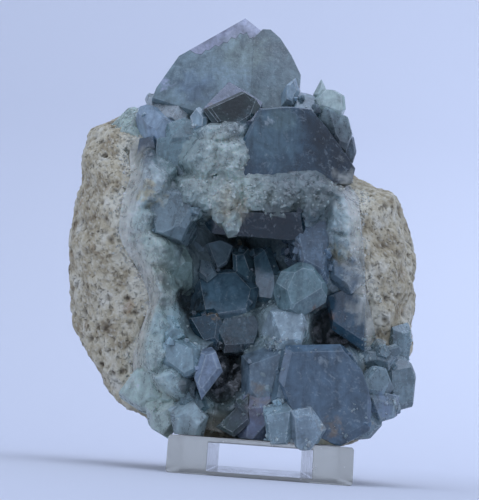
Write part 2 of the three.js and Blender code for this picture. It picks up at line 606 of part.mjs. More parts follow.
function namedMesh(name, solid, material) {
  const mesh = new THREE.Mesh(toGeometry(solid), material);
  mesh.name = name;
  return mesh;
}

const cluster = new THREE.Group();
cluster.add(
  namedMesh('matrix', rock, MATERIALS.rock),
  namedMesh('crown_crystals', crown, MATERIALS.crown),
  namedMesh('hollow_crust', crust, MATERIALS.crust),
  namedMesh('stand', standWithSlot(), MATERIALS.stand),
);

// The origin goes under the middle of everything.
const extent = new THREE.Box3().setFromObject(cluster);
cluster.position.set(-(extent.min.x + extent.max.x) / 2, -(extent.min.y + extent.max.y) / 2, -extent.min.z);
cluster.updateMatrixWorld(true);

export default cluster;
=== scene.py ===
"""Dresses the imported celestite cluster: crystals, small crystals, limestone rind, clear stand and stage.

Places on the stone are millimetres as seen from the front, across and up on a flat sheet that stands
SHEET away from the eye, and then a real depth along Y, as in the part's source. Blender gets metres.
"""
import itertools
import math

import bmesh
import bpy
import numpy as np
from bpy.props import FloatProperty, FloatVectorProperty, PointerProperty
from mathutils import Matrix, Vector


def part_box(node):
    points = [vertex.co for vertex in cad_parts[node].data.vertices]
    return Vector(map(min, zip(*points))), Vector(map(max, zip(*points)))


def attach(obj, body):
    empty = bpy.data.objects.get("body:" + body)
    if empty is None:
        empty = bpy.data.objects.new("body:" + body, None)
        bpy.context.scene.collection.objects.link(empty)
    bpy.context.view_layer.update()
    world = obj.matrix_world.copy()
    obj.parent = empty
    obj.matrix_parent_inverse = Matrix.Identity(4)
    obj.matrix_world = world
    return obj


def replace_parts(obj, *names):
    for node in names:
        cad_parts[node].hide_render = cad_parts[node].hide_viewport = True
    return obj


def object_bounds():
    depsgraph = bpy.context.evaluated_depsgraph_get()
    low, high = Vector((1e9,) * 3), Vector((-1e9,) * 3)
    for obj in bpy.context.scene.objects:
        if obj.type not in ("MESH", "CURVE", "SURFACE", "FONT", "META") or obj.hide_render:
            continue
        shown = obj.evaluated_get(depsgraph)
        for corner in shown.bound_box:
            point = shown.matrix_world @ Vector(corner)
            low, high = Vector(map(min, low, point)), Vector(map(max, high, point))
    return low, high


bl_info = {
    "name": "Celestite cluster",
    "version": (1, 0, 0),
    "blender": (4, 5, 0),
    "location": "3D View > Sidebar > Celestite",
    "description": "Crystals, limestone rind, clear stand and stage around the packed cluster",
    "category": "Object",
}

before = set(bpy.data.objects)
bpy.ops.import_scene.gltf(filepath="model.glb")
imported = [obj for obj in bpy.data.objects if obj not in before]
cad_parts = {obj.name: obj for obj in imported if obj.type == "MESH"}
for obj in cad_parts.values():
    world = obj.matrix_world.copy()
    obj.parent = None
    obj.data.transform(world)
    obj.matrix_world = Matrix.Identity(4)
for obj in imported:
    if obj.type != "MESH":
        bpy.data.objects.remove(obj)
CAD_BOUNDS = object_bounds()

MM = 0.001
STAND_LOW, STAND_HIGH = (np.array(corner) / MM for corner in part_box("stand"))

# The stand's middle is where the tables below count from.
MIDDLE = np.array([(STAND_LOW[0] + STAND_HIGH[0]) / 2, (STAND_LOW[1] + STAND_HIGH[1]) / 2, 0])

EYE = np.array([0, -405, 13])
SHEET = 430
LOOK = {"up": 12.7, "left": 2.3, "turn": 4.2}

# A lens of 860 units in front of a picture 500 units tall.
PICTURE_HEIGHT = 500
LENS_REACH = 860
SENSOR = 36

STAND_GAP = 0.3
HOLLOW = {"across": 0, "up": 4, "depth": 20}
BACK = {"across": 0, "up": -14, "depth": 46}
BED_THICK = 4
BED_SUNK = 3
RIND_SWELL = 0.7

# The outline of the rock, round from its upper left: across, up and depth where it is widest, then
# the share of the way out from the middle at which the rim stands, and the rim's depth.
ROCK_OUTLINE = np.array((
    (-67, 65, 5, 0.80, -10), (-78, 52, 6, 0.70, -20), (-81.5, 32, 10, 0.72, -26),
    (-84, 8, 10, 0.71, -28), (-85.5, -12, 8, 0.62, -28), (-83, -30, 5, 0.58, -28),
    (-76, -50, 3, 0.60, -27), (-65, -72, 0, 0.82, -20), (-48, -84, 0, 0.92, -18),
    (-20, -95, -1, 0.94, -24), (15, -100, 0, 0.94, -28), (48, -98, 0, 0.93, -28),
    (72, -82, 0, 0.91, -20), (85, -56, 0, 0.80, -20), (88, -30, 1, 0.72, -27),
    (85, 0, 4, 0.73, -30), (79, 26, 4, 0.76, -27), (66, 32, 8, 0.88, -16),
    (52, 42, 12, 0.93, 0), (28, 74, 14, 0.93, 4), (0, 77, 14, 0.93, 2),
    (-38, 73, 13, 0.90, -2)))

# How each kind of crystal looks: how frosted it is, from 0 to 1, the colour of its body, and how pale
# its worn edges are, frosted wear with a painted highlight along them. The clear ones are a piece of
# their own.
CLEAR, DEEP, MURKY, MILKY, SUGARY = -1, 0.05, 0.3, 0.7, 1
LOOKS = {
    "giant": (0.12, "#869CA1", 0.3),
    "lobe": (0.12, "#75898A", 0.7),
    "tip": (CLEAR, "#D6DAEA", 0.6),
    "plane": (MURKY, "#6F7789", 0.4),
    "ledge": (SUGARY, "#33444B", 0.2),
    "glassy": (0.35, "#A9C2CC", 0.9),
    "glass": (0.2, "#A3BAC8", 1),
    "vug_clear": (CLEAR, "#9AB0B6", 1),
    "olive": (DEEP, "#263E3A", 0.6),
    "teal": (0.5, "#708C8F", 0.35),
    "teal_pale": (0.5, "#A3BFC1", 0.35),
    "green": (MURKY, "#8CA39A", 0.5),
    "bright": (MURKY, "#7A9496", 0.5),
    "huge": (0.12, "#637C8C", 0.15),
    "lower": (MURKY, "#7A929C", 0.2),
    "violet": (MURKY, "#707E92", 0.3),
    "lavender": (0.35, "#9AAABC", 0.5),
    "striated": (0.65, "#889B9E", 0.3),
    "grey": (0.5, "#6E8490", 0.3),
    "pale": (MILKY, "#AEC3C4", 0.3),
    "pale_green": (0.2, "#BCD0C6", 0.8),
    "pale_blue": (0.45, "#B4CACC", 0.3),
    "round": (0.45, "#99AFB8", 0.5),
    "lilac_pale": (MILKY, "#B6C0BF", 0.3),
    "lump": (MILKY, "#C8D5C8", 0.2),
    "cream": (MILKY, "#CBC8AE", 0.2),
    "frost": (MILKY, "#C7D6CB", 0.25),
    "sugar": (SUGARY, "#C2CFC5", 0.2),
    "mottled": (0.45, "#31505A", 0.3),
    "right": (0.5, "#859A9F", 0.5),
    "slate": (DEEP, "#244B5A", 0.4),
    "dark_slate": (DEEP, "#3C5A6C", 0.2),
    "overhang": (DEEP, "#08242E", 0.2),
    "deep": (DEEP, "#405967", 0.1),
    "vug_deep": (DEEP, "#66848F", 1),
}

# Places where the colour turns: across, up, depth and reach in millimetres, the colour, and how much
# of it shows. Rust and clay stains, the darkest bodies, the clear lilac tip, small pale spots, and painted
# light: pale painted highlights on the largest crystal and its grown-on part, and near-black painted
# shade in two dark pockets of the hollow.
STAINS_AND_PAINTED_LIGHT = (
    (-12, 110.5, 5, 5, "#7D7B9A", 0.5),
    (-3, 115, 7, 5, "#7D7B9A", 0.5),
    # Painted highlight: a pale glint on the largest crystal's left.
    (-37, 83, -4.5, 3, "#C5CBE2", 0.9),
    (-3, 71, -24, 8, "#0D1815", 0.85),
    # Painted highlight: a pale glint on the right edge of the part grown on.
    (31, 79, -4, 4, "#C9D2E6", 0.7),
    (48, 44, -12, 18, "#0A2230", 0.85),
    (44, 58, -14, 12, "#1C2933", 0.7),
    (-46, 51, -16, 5, "#1E2A30", 0.6),
    (72, -78, -33, 6, "#9AA5C4", 0.35),
    (14, 56, -26, 14, "#6E8C96", 0.6),
    (2, 98, 2, 13, "#8A9A8C", 0.55),
    (-22, 80, -4, 10, "#54667F", 0.5),
    (-17, 72, -22, 3, "#A98F77", 0.35),
    (20, 66, -24, 7, "#7C948F", 0.4),
    (51, -3, -34, 5, "#A5925A", 0.5),
    (43, -32, -32, 5, "#A66B3F", 0.75),
    (9, -72, -43, 4, "#8A7350", 0.5),
    (7, -81, -43, 4, "#7C5F52", 0.4),
    (4, -88, -42, 8, "#7F829E", 0.25),
    (46, -89, -48, 3.5, "#B08A50", 0.45),
    (40, -58, -46, 2.5, "#BCCACD", 0.45),
    (47, -54, -45, 2, "#BCCACD", 0.45),
    (37, -85, -50, 2.5, "#BCCACD", 0.4),
    (14, 61, -27, 2, "#C9D3D4", 0.5),
    # Painted shade: near-black in the two dark pockets of the hollow.
    (-8, -61, -28, 13, "#2B2A26", 0.75),
    (-24, -24, -22, 8, "#26241F", 0.85),
    (-13, -31, -27, 2.5, "#A8875A", 0.6),
    (-5, 22, -38, 7, "#CFC8AC", 0.7),
    (-46, 28, -35, 5, "#C7B98F", 0.7),
)

# Beside the rim the crystal is clouded with the rock's cream: which rows of the outline, how many
# places for each, and the cream's reach and colour.
CREAM_ROWS = ((0.4, 7.2), (13.2, 17.6))
CREAM_STEPS = 2
CREAM_REACH = 8
CREAM = ("#D6D6C8", 0.65)

# Large crystals: the look, the depth of the face, its lean across and up, how far the crystal goes
# back, how much of the outline its facets leave, how far behind them it is widest, and the outline.
CROWN = (
    # in front of the largest crystal's foot
    ("plane", -20, (0.1, 0.5), 24, 0.9, 3,
     ((-18, 71), (-5, 84.5), (3, 80), (11.5, 74), (6, 63), (-12, 63))),
    ("olive", -25, (0.2, 0.2), 24, 0.8, 2,
     ((-17.5, 71.5), (1, 80), (11, 73.5), (9, 68), (2.5, 64), (-12.5, 64.5))),
    ("glassy", -26, (-0.2, 0.2), 22, 0.6, 3,
     ((-20.5, 73), (-16.5, 68), (-17.5, 59), (-22.5, 59), (-25, 67))),
    # upper left
    ("glass", -14, (-0.3, 0.3), 26, 0.6, 4,
     ((-53.5, 70), (-51.5, 75), (-45, 76), (-38.5, 74), (-33, 69), (-32.5, 65), (-37, 58.5), (-44, 55.5),
      (-49, 58), (-53.5, 64))),
    ("frost", -4, (-0.5, 0.4), 24, 0.5, 4,
     ((-67, 64), (-61, 70), (-53, 73), (-48, 66), (-52, 57), (-62, 55))),
    ("lilac_pale", -8, (-0.2, 0.6), 24, 0.7, 3,
     ((-48, 78), (-36, 79), (-26, 73), (-30, 66), (-44, 68))),
    ("dark_slate", -15, (-0.2, 0.1), 20, 0.9, 2,
     ((-50, 56), (-43, 57), (-41, 46), (-52, 44))),
    ("teal", -19, (-0.1, 0.5), 26, 0.8, 3,
     ((-38, 64), (-29, 67.5), (-20, 64), (-19, 56), (-36, 55))),
    ("teal", -22, (-0.15, 0.1), 28, 0.85, 3,
     ((-41, 58), (-28, 60), (-18, 56), (-22, 42), (-28, 36), (-37, 38), (-42, 46))),
    # the largest dark crystal, upper right
    ("deep", -24, (0.27, 0.12), 26, 0.95, 2,
     ((1, 53), (11, 71.5), (24, 72), (36, 70.5), (47.5, 57.5), (58, 42.5), (56, 34), (30, 34), (0, 37))),
    # upper right, small pale faces
    ("giant", -10, (0.1, 0.6), 26, 0.85, 3,
     ((28, 80), (34, 78.5), (40, 76), (38, 68), (26, 69))),
    ("pale_green", -12, (0.1, 0.3), 24, 0.8, 3,
     ((38, 78), (41, 81.5), (48, 81), (53, 78), (53.5, 72), (50, 68.5), (40, 72))),
    ("pale_green", -8, (0, 0.2), 20, 0.5, 3,
     ((37, 79), (41, 86.5), (44, 80), (41, 76))),
    ("glassy", -13, (0.4, 0.2), 14, 0.5, 2,
     ((24, 83), (29, 87), (31, 80), (28, 74), (24, 76))),
    ("pale", -12, (0.5, 0.1), 26, 0.75, 3,
     ((42, 73), (50, 69.5), (56, 66), (58, 58), (55, 50), (50, 53), (45, 62))),
    ("grey", -6, (0.5, 0), 24, 0.6, 3,
     ((52, 60), (58, 58), (59.5, 50), (57, 43), (52, 44))),
)
CRUST = (
    # along the left side of the hollow
    ("striated", -35, (-0.1, 0.2), 26, 0.7, 3,
     ((-50, 26), (-41, 32), (-26, 30), (-24, 19), (-31, 9), (-46, 11))),
    ("green", -29, (-0.1, 0.2), 28, 0.55, 4,
     ((-40, -6), (-36, 2), (-29, 3.5), (-25, -4), (-26, -13), (-32, -18), (-39, -15))),
    ("teal", -34, (0.2, 0.3), 24, 0.6, 3,
     ((-32, 27), (-24, 29), (-19, 22), (-23, 16), (-31, 18))),
    # the dark overhang under the ledge, and the blunt tip that hangs beside it
    ("sugar", -40, (0, 0.3), 12, 0.45, 4,
     ((-14, 24), (-8, 27), (3, 24), (1, 17), (-1, 13), (-6, 12), (-8, 17))),
    ("overhang", -35, (0, -0.6), 30, 0.95, 1.5,
     ((-16, 12), (-8, 18), (29, 18), (31, 5), (-11.5, 8.5))),
    # inside the hollow
    ("vug_clear", -12, (0.3, 0.2), 24, 0.6, 3,
     ((-29, 3), (-23, 6), (-18, 4), (-17, -1), (-22, -8), (-28, -6))),
    ("vug_clear", -15, (0.1, 0.3), 24, 0.7, 2,
     ((-20, -3.5), (-14, -4.5), (-11, -11), (-16, -15), (-21, -11))),
    ("vug_clear", -8, (0.1, 0.1), 22, 0.8, 2,
     ((-17, 3), (-9, 5), (-3, 2), (-6, -6), (-12, -10))),
    ("vug_deep", -7, (0.1, 0.2), 22, 0.45, 4,
     ((-3, 2), (4, 3), (8, -8), (5, -17), (-2, -15))),
    ("vug_deep", -9, (-0.4, 0.1), 22, 0.6, 4,
     ((6, 0), (14, 1), (19, -12), (17, -26), (8, -25))),
    ("vug_deep", -15, (0, 0.5), 28, 0.7, 4,
     ((-25, -20), (-17.5, -10), (0, -9), (8, -17.5), (5, -30), (-12.5, -33), (-23.5, -28))),
    ("slate", -28, (-0.1, 0.2), 30, 0.65, 4,
     ((-26.5, -39), (-22.5, -29), (-14, -27.5), (-9.5, -36), (-11, -47.5), (-20, -50))),
    ("mottled", -27, (0.05, 0.4), 28, 0.65, 4,
     ((-11, -40), (-6, -31), (5, -30), (9.5, -37.5), (6, -48), (-7, -49))),
    # the bright crystal and its neighbour, right of the middle
    ("bright", -41, (0.1, 0.15), 38, 0.66, 4,
     ((30, -5.5), (36, -7), (43.5, -17.5), (43, -23.5), (32.5, -30), (21.5, -26), (19, -17.5),
      (22.5, -9.5))),
    ("pale_blue", -40, (0, 0.3), 34, 0.6, 4,
     ((12, -36), (17.5, -28), (29, -27.5), (33, -36), (30, -46.5), (16, -47))),
    # along the right side of the hollow
    ("dark_slate", -30, (-0.3, 0.1), 26, 0.8, 3,
     ((43, -22), (52.5, -18), (62, -24), (61, -48), (46, -38))),
    ("grey", -33, (0.2, 0.2), 28, 0.75, 3,
     ((30, 22), (42, 22), (47, 5), (44, -14), (33, -8), (29, 8))),
    ("grey", -34, (-0.1, 0), 26, 0.6, 3,
     ((44, 0), (58, -1), (62, -14), (55, -21), (45, -14))),
    # lower left
    ("teal_pale", -38, (-0.1, 0.2), 24, 0.6, 3,
     ((-41, -32), (-33, -33), (-29, -41), (-36, -46), (-42, -41))),
    ("teal_pale", -42, (-0.1, 0.2), 30, 0.6, 4,
     ((-39, -47), (-30, -43), (-21.5, -46), (-20.5, -58), (-30, -63), (-38, -57))),
    ("lavender", -46, (0.1, 0.1), 32, 0.6, 3,
     ((-18, -48.5), (-13.5, -47.5), (-9, -60), (-18.5, -72.5), (-22, -62.5))),
    ("frost", -33, (-0.3, -0.1), 22, 0.5, 4,
     ((-62, -74), (-52, -60), (-40, -61), (-38, -74), (-50, -82))),
    ("frost", -39, (-0.2, -0.3), 26, 0.5, 4,
     ((-49, -77), (-37.5, -75), (-30, -84), (-37, -94), (-47, -88))),
    ("pale", -43, (0, -0.2), 28, 0.6, 4,
     ((-35, -79), (-25, -76), (-17, -85), (-20, -96), (-31, -97))),
    ("teal", -39, (0.2, 0.1), 26, 0.6, 3,
     ((-28, -66), (-20, -68), (-15, -78), (-22, -83), (-29, -77))),
    # lower middle
    ("olive", -43, (-0.2, 0.2), 26, 0.8, 2,
     ((-11, -88), (4, -73), (4, -86), (-3, -92))),
    ("lower", -40, (-0.15, 0.1), 32, 0.7, 4,
     ((1, -53), (12, -49), (24, -53), (17, -76), (8, -79), (1, -70))),
    ("lower", -46, (0.1, 0.1), 34, 0.7, 3,
     ((22, -50), (34, -50), (36, -66), (22, -76), (17, -74))),
    ("violet", -43, (-0.1, -0.1), 30, 0.6, 4,
     ((2, -74), (14, -72), (17, -88), (10, -96), (0, -93))),
    ("huge", -47, (0.12, 0.15), 42, 0.88, 4,
     ((26, -49), (52.5, -48.5), (57, -53.5), (64.5, -75), (64, -87.5), (50, -95), (30, -85), (22.5, -65))),
    ("round", -52, (-0.1, -0.1), 32, 0.55, 4,
     ((12, -79), (22, -77), (29, -84), (27, -98), (15, -99))),
    ("round", -52, (0.1, -0.2), 32, 0.55, 4,
     ((26, -82), (36, -80), (43, -90), (37, -100), (27, -99))),
    ("cream", -47, (0, -0.4), 26, 0.6, 3,
     ((34, -90), (50, -90), (53, -98), (43, -101), (33, -100))),
    # lower right
    ("right", -37, (0.3, 0.1), 28, 0.6, 3,
     ((62, -65), (68, -58.5), (76, -60), (79, -68), (73, -76), (64, -75))),
    ("right", -35, (0.3, -0.2), 28, 0.6, 3,
     ((61, -74), (72, -72), (81, -74), (80, -83), (66, -87))),
    ("right", -37, (0.2, -0.3), 28, 0.5, 3,
     ((55, -80), (68, -80), (74, -85), (66, -94), (54, -95))),
    ("right", -18, (0.5, 0), 22, 0.5, 3,
     ((79, -39), (86, -37), (88.5, -46), (87, -57), (79, -56))),
    ("right", -25, (0.4, 0), 26, 0.5, 4,
     ((73, -54), (84, -52), (88, -62), (86.5, -77), (79, -79), (73, -68))),
    ("right", -31, (0.2, 0.1), 26, 0.5, 3,
     ((64, -47), (74, -46), (80, -54), (74, -61), (64, -58))),
)

# Frosted crystals that are fused into the ground they stand in: the look, the depth of the face, its
# lean across and up, how steeply its sides fall away, and the outline.
FUSED = (
    # pale sugary clumps in the middle
    ("sugar", -31, (0, 0.4), 1.8,
     ((-19.5, 60), (-14, 65.5), (-1, 65), (1, 59), (-6, 54), (-17, 54.5))),
    ("sugar", -34, (-0.3, 0.1), 1.8,
     ((-27, 45), (-20, 55), (-12, 55.5), (-11, 43), (-18, 36))),
    ("sugar", -36, (0.25, 0.1), 1.8,
     ((-11, 52.5), (0, 54), (3, 45), (-1, 36), (-10, 40))),
    # along the left side of the hollow
    ("lilac_pale", -34, (-0.2, 0.3), 0.8,
     ((-56, 30), (-46, 42), (-37, 36), (-40, 27), (-50, 22))),
    ("frost", -34, (-0.3, 0.2), 0.6,
     ((-60, 20), (-53, 24), (-45, 18), (-48, 10), (-59, 9))),
    ("lump", -35, (-0.3, 0), 0.7,
     ((-54, 7), (-46, 9), (-40, 3), (-41, -7), (-51, -8))),
    ("cream", -35, (0.1, 0.1), 0.9,
     ((-51, -7), (-42, -6), (-38, -14), (-47, -17))),
    ("frost", -35, (-0.3, -0.1), 0.7,
     ((-51, -17), (-41, -15), (-37, -23), (-43, -28), (-51, -26))),
    ("frost", -36, (-0.3, 0), 0.7,
     ((-52, -28), (-42, -27), (-37, -37), (-42, -46), (-52, -41))),
    ("frost", -38, (-0.3, 0), 0.7,
     ((-54, -47), (-45, -44), (-38, -52), (-42, -61), (-53, -60))),
    ("pale", -41, (-0.1, 0), 0.8,
     ((-45, -64), (-34, -60), (-26, -67.5), (-30, -78), (-42, -78))),
    # the ledge over the hollow
    ("ledge", -33, (0, 0.6), 1.2,
     ((-4, 38), (22, 36.5), (44, 36), (54, 33), (50, 28), (-2, 30))),
    ("sugar", -36, (-0.1, 0.5), 1.4,
     ((-29, 35), (-18, 37), (-13, 30), (-18, 23), (-27, 25))),
    ("sugar", -39, (0, 0.5), 1.4,
     ((-13, 34), (-4, 36), (0, 30), (-4, 23), (-12, 24))),
    ("sugar", -38, (0.1, 0.5), 1.4,
     ((2, 35), (11, 36), (16, 30), (11, 22), (3, 23))),
    ("ledge", -37, (0.1, 0.4), 1.2,
     ((18, 34), (27, 34), (31, 28), (25, 21), (16, 23))),
    ("ledge", -36, (0.2, 0.4), 1.2,
     ((31, 33), (42, 31), (48, 26), (40, 19), (32, 21))),
    # along the right side of the hollow
    ("pale", -34, (-0.1, 0.2), 0.8,
     ((46, 25), (56, 23), (61, 14), (55, 8), (46, 11))),
    ("pale", -35, (0.2, 0.1), 0.8,
     ((49, 6), (60, 6), (59, -3), (50, -4))),
)

# Their faces begin to fall this far inside the outline and round off over this length, in
# millimetres; the greater the third number, the more sharply they meet the ground. Further out they
# plunge, the sooner the smaller the fourth is. Their sides are from this steep to that much steeper.
FUSED_SHOULDER = 1
FUSED_ROUND = 0.7
FUSED_MEETS = 1.4
FUSED_PLUNGE = 2.5
FUSED_STEEP = (0.6, 0.8)

# The largest crystal: a murky body, with a jagged growth line, above which the tip is clear, and a
# part grown on at the right. Outlines, all on one plane, and the long facet at the upper left.
GIANT = {
    "depth": 0,
    "lean": (0.05, 0.3),
    "waist": 12,
    "back": 34,
    "outline": ((-44, 76), (-42, 81), (-37.5, 86.5), (-32.5, 92), (-29, 97.5), (-26, 103.5), (-18, 107.5),
                (-6, 115), (0, 117.3), (3.5, 116), (11, 110), (18, 104), (21, 72), (-19, 68)),
    "grown_on": ((7, 106), (11.5, 110.2), (15.5, 110), (20.5, 105.5), (26, 97), (30.8, 87), (29.5, 71),
                 (5, 70)),
    "growth_line": ((-30, 99), (-25, 101.6), (-22, 99.7), (-19, 99.3), (-17, 101.6), (-15.2, 101.4),
                    (-12.1, 104), (-10.4, 103.2), (-8, 105.4), (-6, 105.2), (-4, 107.8), (-2, 107),
                    (0.2, 110), (2.2, 109.2), (3.4, 110.6), (5, 107.2), (6.8, 107.6), (8.5, 105),
                    (14, 108)),
    "roof": ((-18, 104), (0, 114.2)),
    "roof_slant": 62,
}

# The tip stands this far off the growth line, and the part grown on this far in front, in millimetres.
GROWTH_GAP = 0.15
GROWTH_LOWER = 1.6
GROWN_ON = 0.8
GIANT_SHOULDER = 2
GIANT_TAPER = 0.015
TIP_TOP = 130
TIP_FRONT, TIP_BACK = 9, 60

# A crystal's root is this share of its width, and each kind is spread this much into its neighbours.
ROOT_SHARE = 0.8
INTERLOCK = {"crown": 1.02, "crust": 1.12}

# Facets: how far each one eats into the end face, as a share of what the crystal's cut allows, and
# its slant to that face in degrees.
FACET_INSET = (0.1, 1.7)
FACET_SLANT = (28, 62)
CORNER_FACETS = 0.3
CORNER_INSET = (0.3, 1.0)
SMALLEST_EDGE = 0.12
TINT_SPREAD = 0.05
EDGE_SEGMENTS = 2

# How many times wider the worn edges of a frosted crystal are, added to a clear one's.
FROSTED_WEAR = 7

# The facets of one crystal differ this much in brightness, at random: partly painted reflection, as if
# each facet caught the light differently, and partly from what lies behind them inside.
FACET_SPREAD = 0.13

# The ground that the crystals stand in, a frosted mass of small fused ones: how far it lies behind the
# large faces, how much nearer it comes to frosted ones, over what distance it follows them, and how
# much of a large crystal's radius is its core. Then its small crystals in layers, plain, on sugary and
# on frosted faces: how far apart they stand, how high they are, and which pattern they follow.
GROUND_SUNK = 6.5
GROUND_RAISED = 4
GROUND_FOLLOWS = 3.5
ROW_CORE = 0.8
GROUND_CRYSTALS = ((11, 4.5, 61), (5.5, 2.2, 62))
SUGAR_CRYSTALS = ((4.2, 2.4, 66), (2.1, 1.3, 67))
FROST_CRYSTALS = ((7, 3.4, 69), (3.4, 1.4, 70))

# One such small crystal: how sharply two meet, its height, the slope of its faces, and its blunt tip.
CLUSTER_SHARP = 18
CLUSTER_HEIGHT = (0.3, 0.7)
CLUSTER_SLOPE = (0.5, 1.1)
CLUSTER_BLUNT = 0.12

# A face's lean moves the ground beside it by this much at most, and the pull of a near crystal counts
# this many times. Away from all of them the ground lies this far in front of the bowl. Its small
# crystals stand about their mean height, and less so at the bowl; a pocket is clearer by a share.
LEAN_MOST = 8
GROUND_NEAR = 1.5
GROUND_AHEAD = 4
RELIEF_MEAN = 2.5
BOWL_RELIEF = 0.3
POCKET_CLEARS = 0.5

# Fine unevenness of the ground: how much, how wide in millimetres, and which pattern.
GROUND_GRAIN = ((0.35, 2.4, 63), (0.12, 0.9, 64))
GROUND_RINGS = 160
GROUND_COLUMNS = 560
GROUND_PALE = 0.28
RIM_MEETS = 0.86
RIM_CREAM = ("#EBE5CE", 0.85)
RIM_SMOOTH = 0.1

# Hollow and pockets in the ground: middle, half size across and up, how deep, and how dark, the last
# as painted shade laid into the colour of the ground and of the small crystals there.
POCKETS = (
    (2, 2, 33, 14, 28, 0.35), (46, -40, 10, 10, 14, 0.85), (-8, -61, 11, 14, 10, 0.65),
    (-25, -66, 5, 7, 8, 0.6), (-24, -24, 7, 6, 8, 0.7), (-46, 50, 5, 5, 5, 0.5), (-2, -18, 20, 12, 8, 0.3),
)

# A pocket is at its full depth while the first of these, less the second times the squared way out in
# its oval, is over 1.
POCKET_FULL, POCKET_STEEP = 2.2, 1.6

# Fill crystals between the large ones: how many, how wide, and how long for their width. They stand
# where the surface faces the eye by these shares, and no deeper than this; each is so light for what
# it stands on. Places are tried this many times over, and a crystal points along the surface's normal
# and towards the eye by the next shares, with a random tilt.
FILLERS = {"crown": 30, "crust": 110}
FILLER_WIDE = (1.2, 3.8)
FILLER_LONG = 1.6
FILLER_FACING = (0.1, 0.72)
FILLER_DEEPEST = 14
FILLER_LIGHTNESS = (0.75, 1.3)
FILLER_TRIES = 8
FILLER_AXIS = (0.7, 0.3, 0.4)
# How pale the small crystals' edges are: frosted wear and a painted highlight.
FILLER_WEAR_AND_GLINT = 0.3
FILLER_UNEVEN = 1.6
FILLER_CLEAR = 1.2
FILLER_BEVEL = 0.7

# A fill crystal's shape: how thin, how far its end facets eat in, flat sides first, and their slant.
SMALL_THIN = (0.5, 0.9)
SMALL_INSETS = (0.28, 0.6)
SMALL_EXTRA = (0.2, 0.5)
SMALL_SLANT = (38, 58)

# Large faces and dark pockets that stay bare: middle and half size across and up.
BARE = ((-8, 90, 38, 25), (25, 52, 26, 17), (33, -18, 13, 13), (44, -68, 20, 18), (-8, -20, 15, 9),
        (-8, -66, 8, 15), (9, 11, 22, 6), (12, -36, 9, 8), (-24, -24, 5, 6), (-38, 20, 9, 8),
        (54, 56, 8, 16), (46, 76, 8, 8), (-43, 66, 12, 11), (-33, 50, 8, 8), (-31, -5, 8, 10))
LOWEST_NORMAL = -0.3

# Where the small sugary crystals crowd: middle and half size across and up, and how densely.
SUGAR_ZONES = (
    (-12, 60, 14, 5, 0.15), (-16, 44, 12, 8, 0.15), (-10, 28, 22, 8, 0.25), (8, 30, 8, 6, 0.3),
    (-58, 34, 5, 14, 0.2), (-60, 8, 4, 16, 0.3), (-58, -22, 4, 18, 0.3), (-56, -50, 5, 18, 0.3),
    (-50, -76, 10, 8, 0.15), (-40, -88, 12, 6, 0.15), (22, -48, 8, 4, 0.6), (62, 8, 6, 22, 0.3),
    (62, -10, 6, 14, 0.3), (66, -50, 8, 10, 0.3), (70, -78, 12, 8, 0.3), (40, -94, 22, 6, 0.3),
    (0, -84, 14, 10, 0.15), (-58, 62, 10, 10, 0.4), (87, -20, 4, 34, 0.6),
)
ZONE_FULL = 1.6
SUGAR_EVERYWHERE = 0.01
SUGAR_SMALLEST = 0.35
SUGAR_MOST = 5000
SUGAR_TRIES = 5
SUGAR_KEPT = 0.8
SUGAR_HAZE = 0.9
SUGAR_ON_FROST = 0.5
SUGAR_FACING = -0.2
SUGAR_CLEAR = 1.8
SUGAR_UNEVEN = 1.7
SUGAR_TILT = 0.45
SUGAR_TAKES_AFTER = 0.6
SUGAR_SPREAD = (0.1, 0.08)

# The band beside the rim in which rock turns to crystal, in millimetres on either side.
RIM_BAND = 6.5
RIM_FULL = 1.15
RIM_SUGAR = 1500
RIM_SUGAR_FROM = 0.02
RIM_CROWDED = 1.5
RIM_SUGAR_SIZE = 0.8
RIM_RAGGED = ((5, 7, 41), (3, 3, 42))


def set_axes():
    """Where things are seen from, as unit vectors: to the right, up and away."""
    left, raised, turned = (math.radians(LOOK[key]) for key in ("left", "up", "turn"))
    side = np.array([math.cos(left), math.sin(left), 0])
    level = np.array([-math.sin(left), math.cos(left), 0])
    away = level * math.cos(raised) + np.array([0, 0, math.sin(raised)])
    top = np.cross(side, away)
    right = side * math.cos(turned) + top * math.sin(turned)
    up = top * math.cos(turned) - side * math.sin(turned)
    return right, up, away


RIGHT, UP, AWAY = set_axes()


def sight_lines(across, up):
    """Lines from the eye through places on the sheet: away, plus across to the right, plus up."""
    across, up = np.asarray(across, float)[..., None], np.asarray(up, float)[..., None]
    return AWAY * SHEET + RIGHT * across + UP * up


def placed(across, up, depth):
    """Points seen at (across, up): the sight line, followed until its depth along Y is reached."""
    lines = sight_lines(across, up)
    reach = (np.asarray(depth, float) - EYE[1]) / lines[..., 1]
    return EYE + lines * reach[..., None]


def placed_on_plane(across, up, anchor, normal):
    """Points seen at (across, up): the sight line, followed until it meets a plane."""
    lines = sight_lines(across, up)
    reach = (anchor - EYE) @ normal / (lines @ normal)
    return EYE + lines * reach[..., None]


def seen_at(points):
    """The across and up at which points are seen: their place beside the line of sight, on the sheet."""
    arms = points - EYE
    reach = arms @ AWAY / SHEET
    return np.stack([arms @ RIGHT / reach, arms @ UP / reach], -1)


def unit(vectors):
    return vectors / np.linalg.norm(vectors, axis=-1, keepdims=True)


def linear(hex_colour):
    """An sRGB hex colour as linear light."""
    parts = np.array([int(hex_colour[i:i + 2], 16) / 255 for i in (1, 3, 5)])
    return np.where(parts <= 0.04045, parts / 12.92, ((parts + 0.055) / 1.055) ** 2.4)


def to_world(points):
    """Millimetres about the stand's middle, to metres in the row's frame."""
    return (points + MIDDLE) * MM


def to_table(points):
    """Metres in the row's frame, to millimetres about the stand's middle."""
    return np.asarray(points) / MM - MIDDLE


def haze_of(row):
    """How frosted a crystal of the tables is, or CLEAR."""
    return LOOKS[row[0]][0]


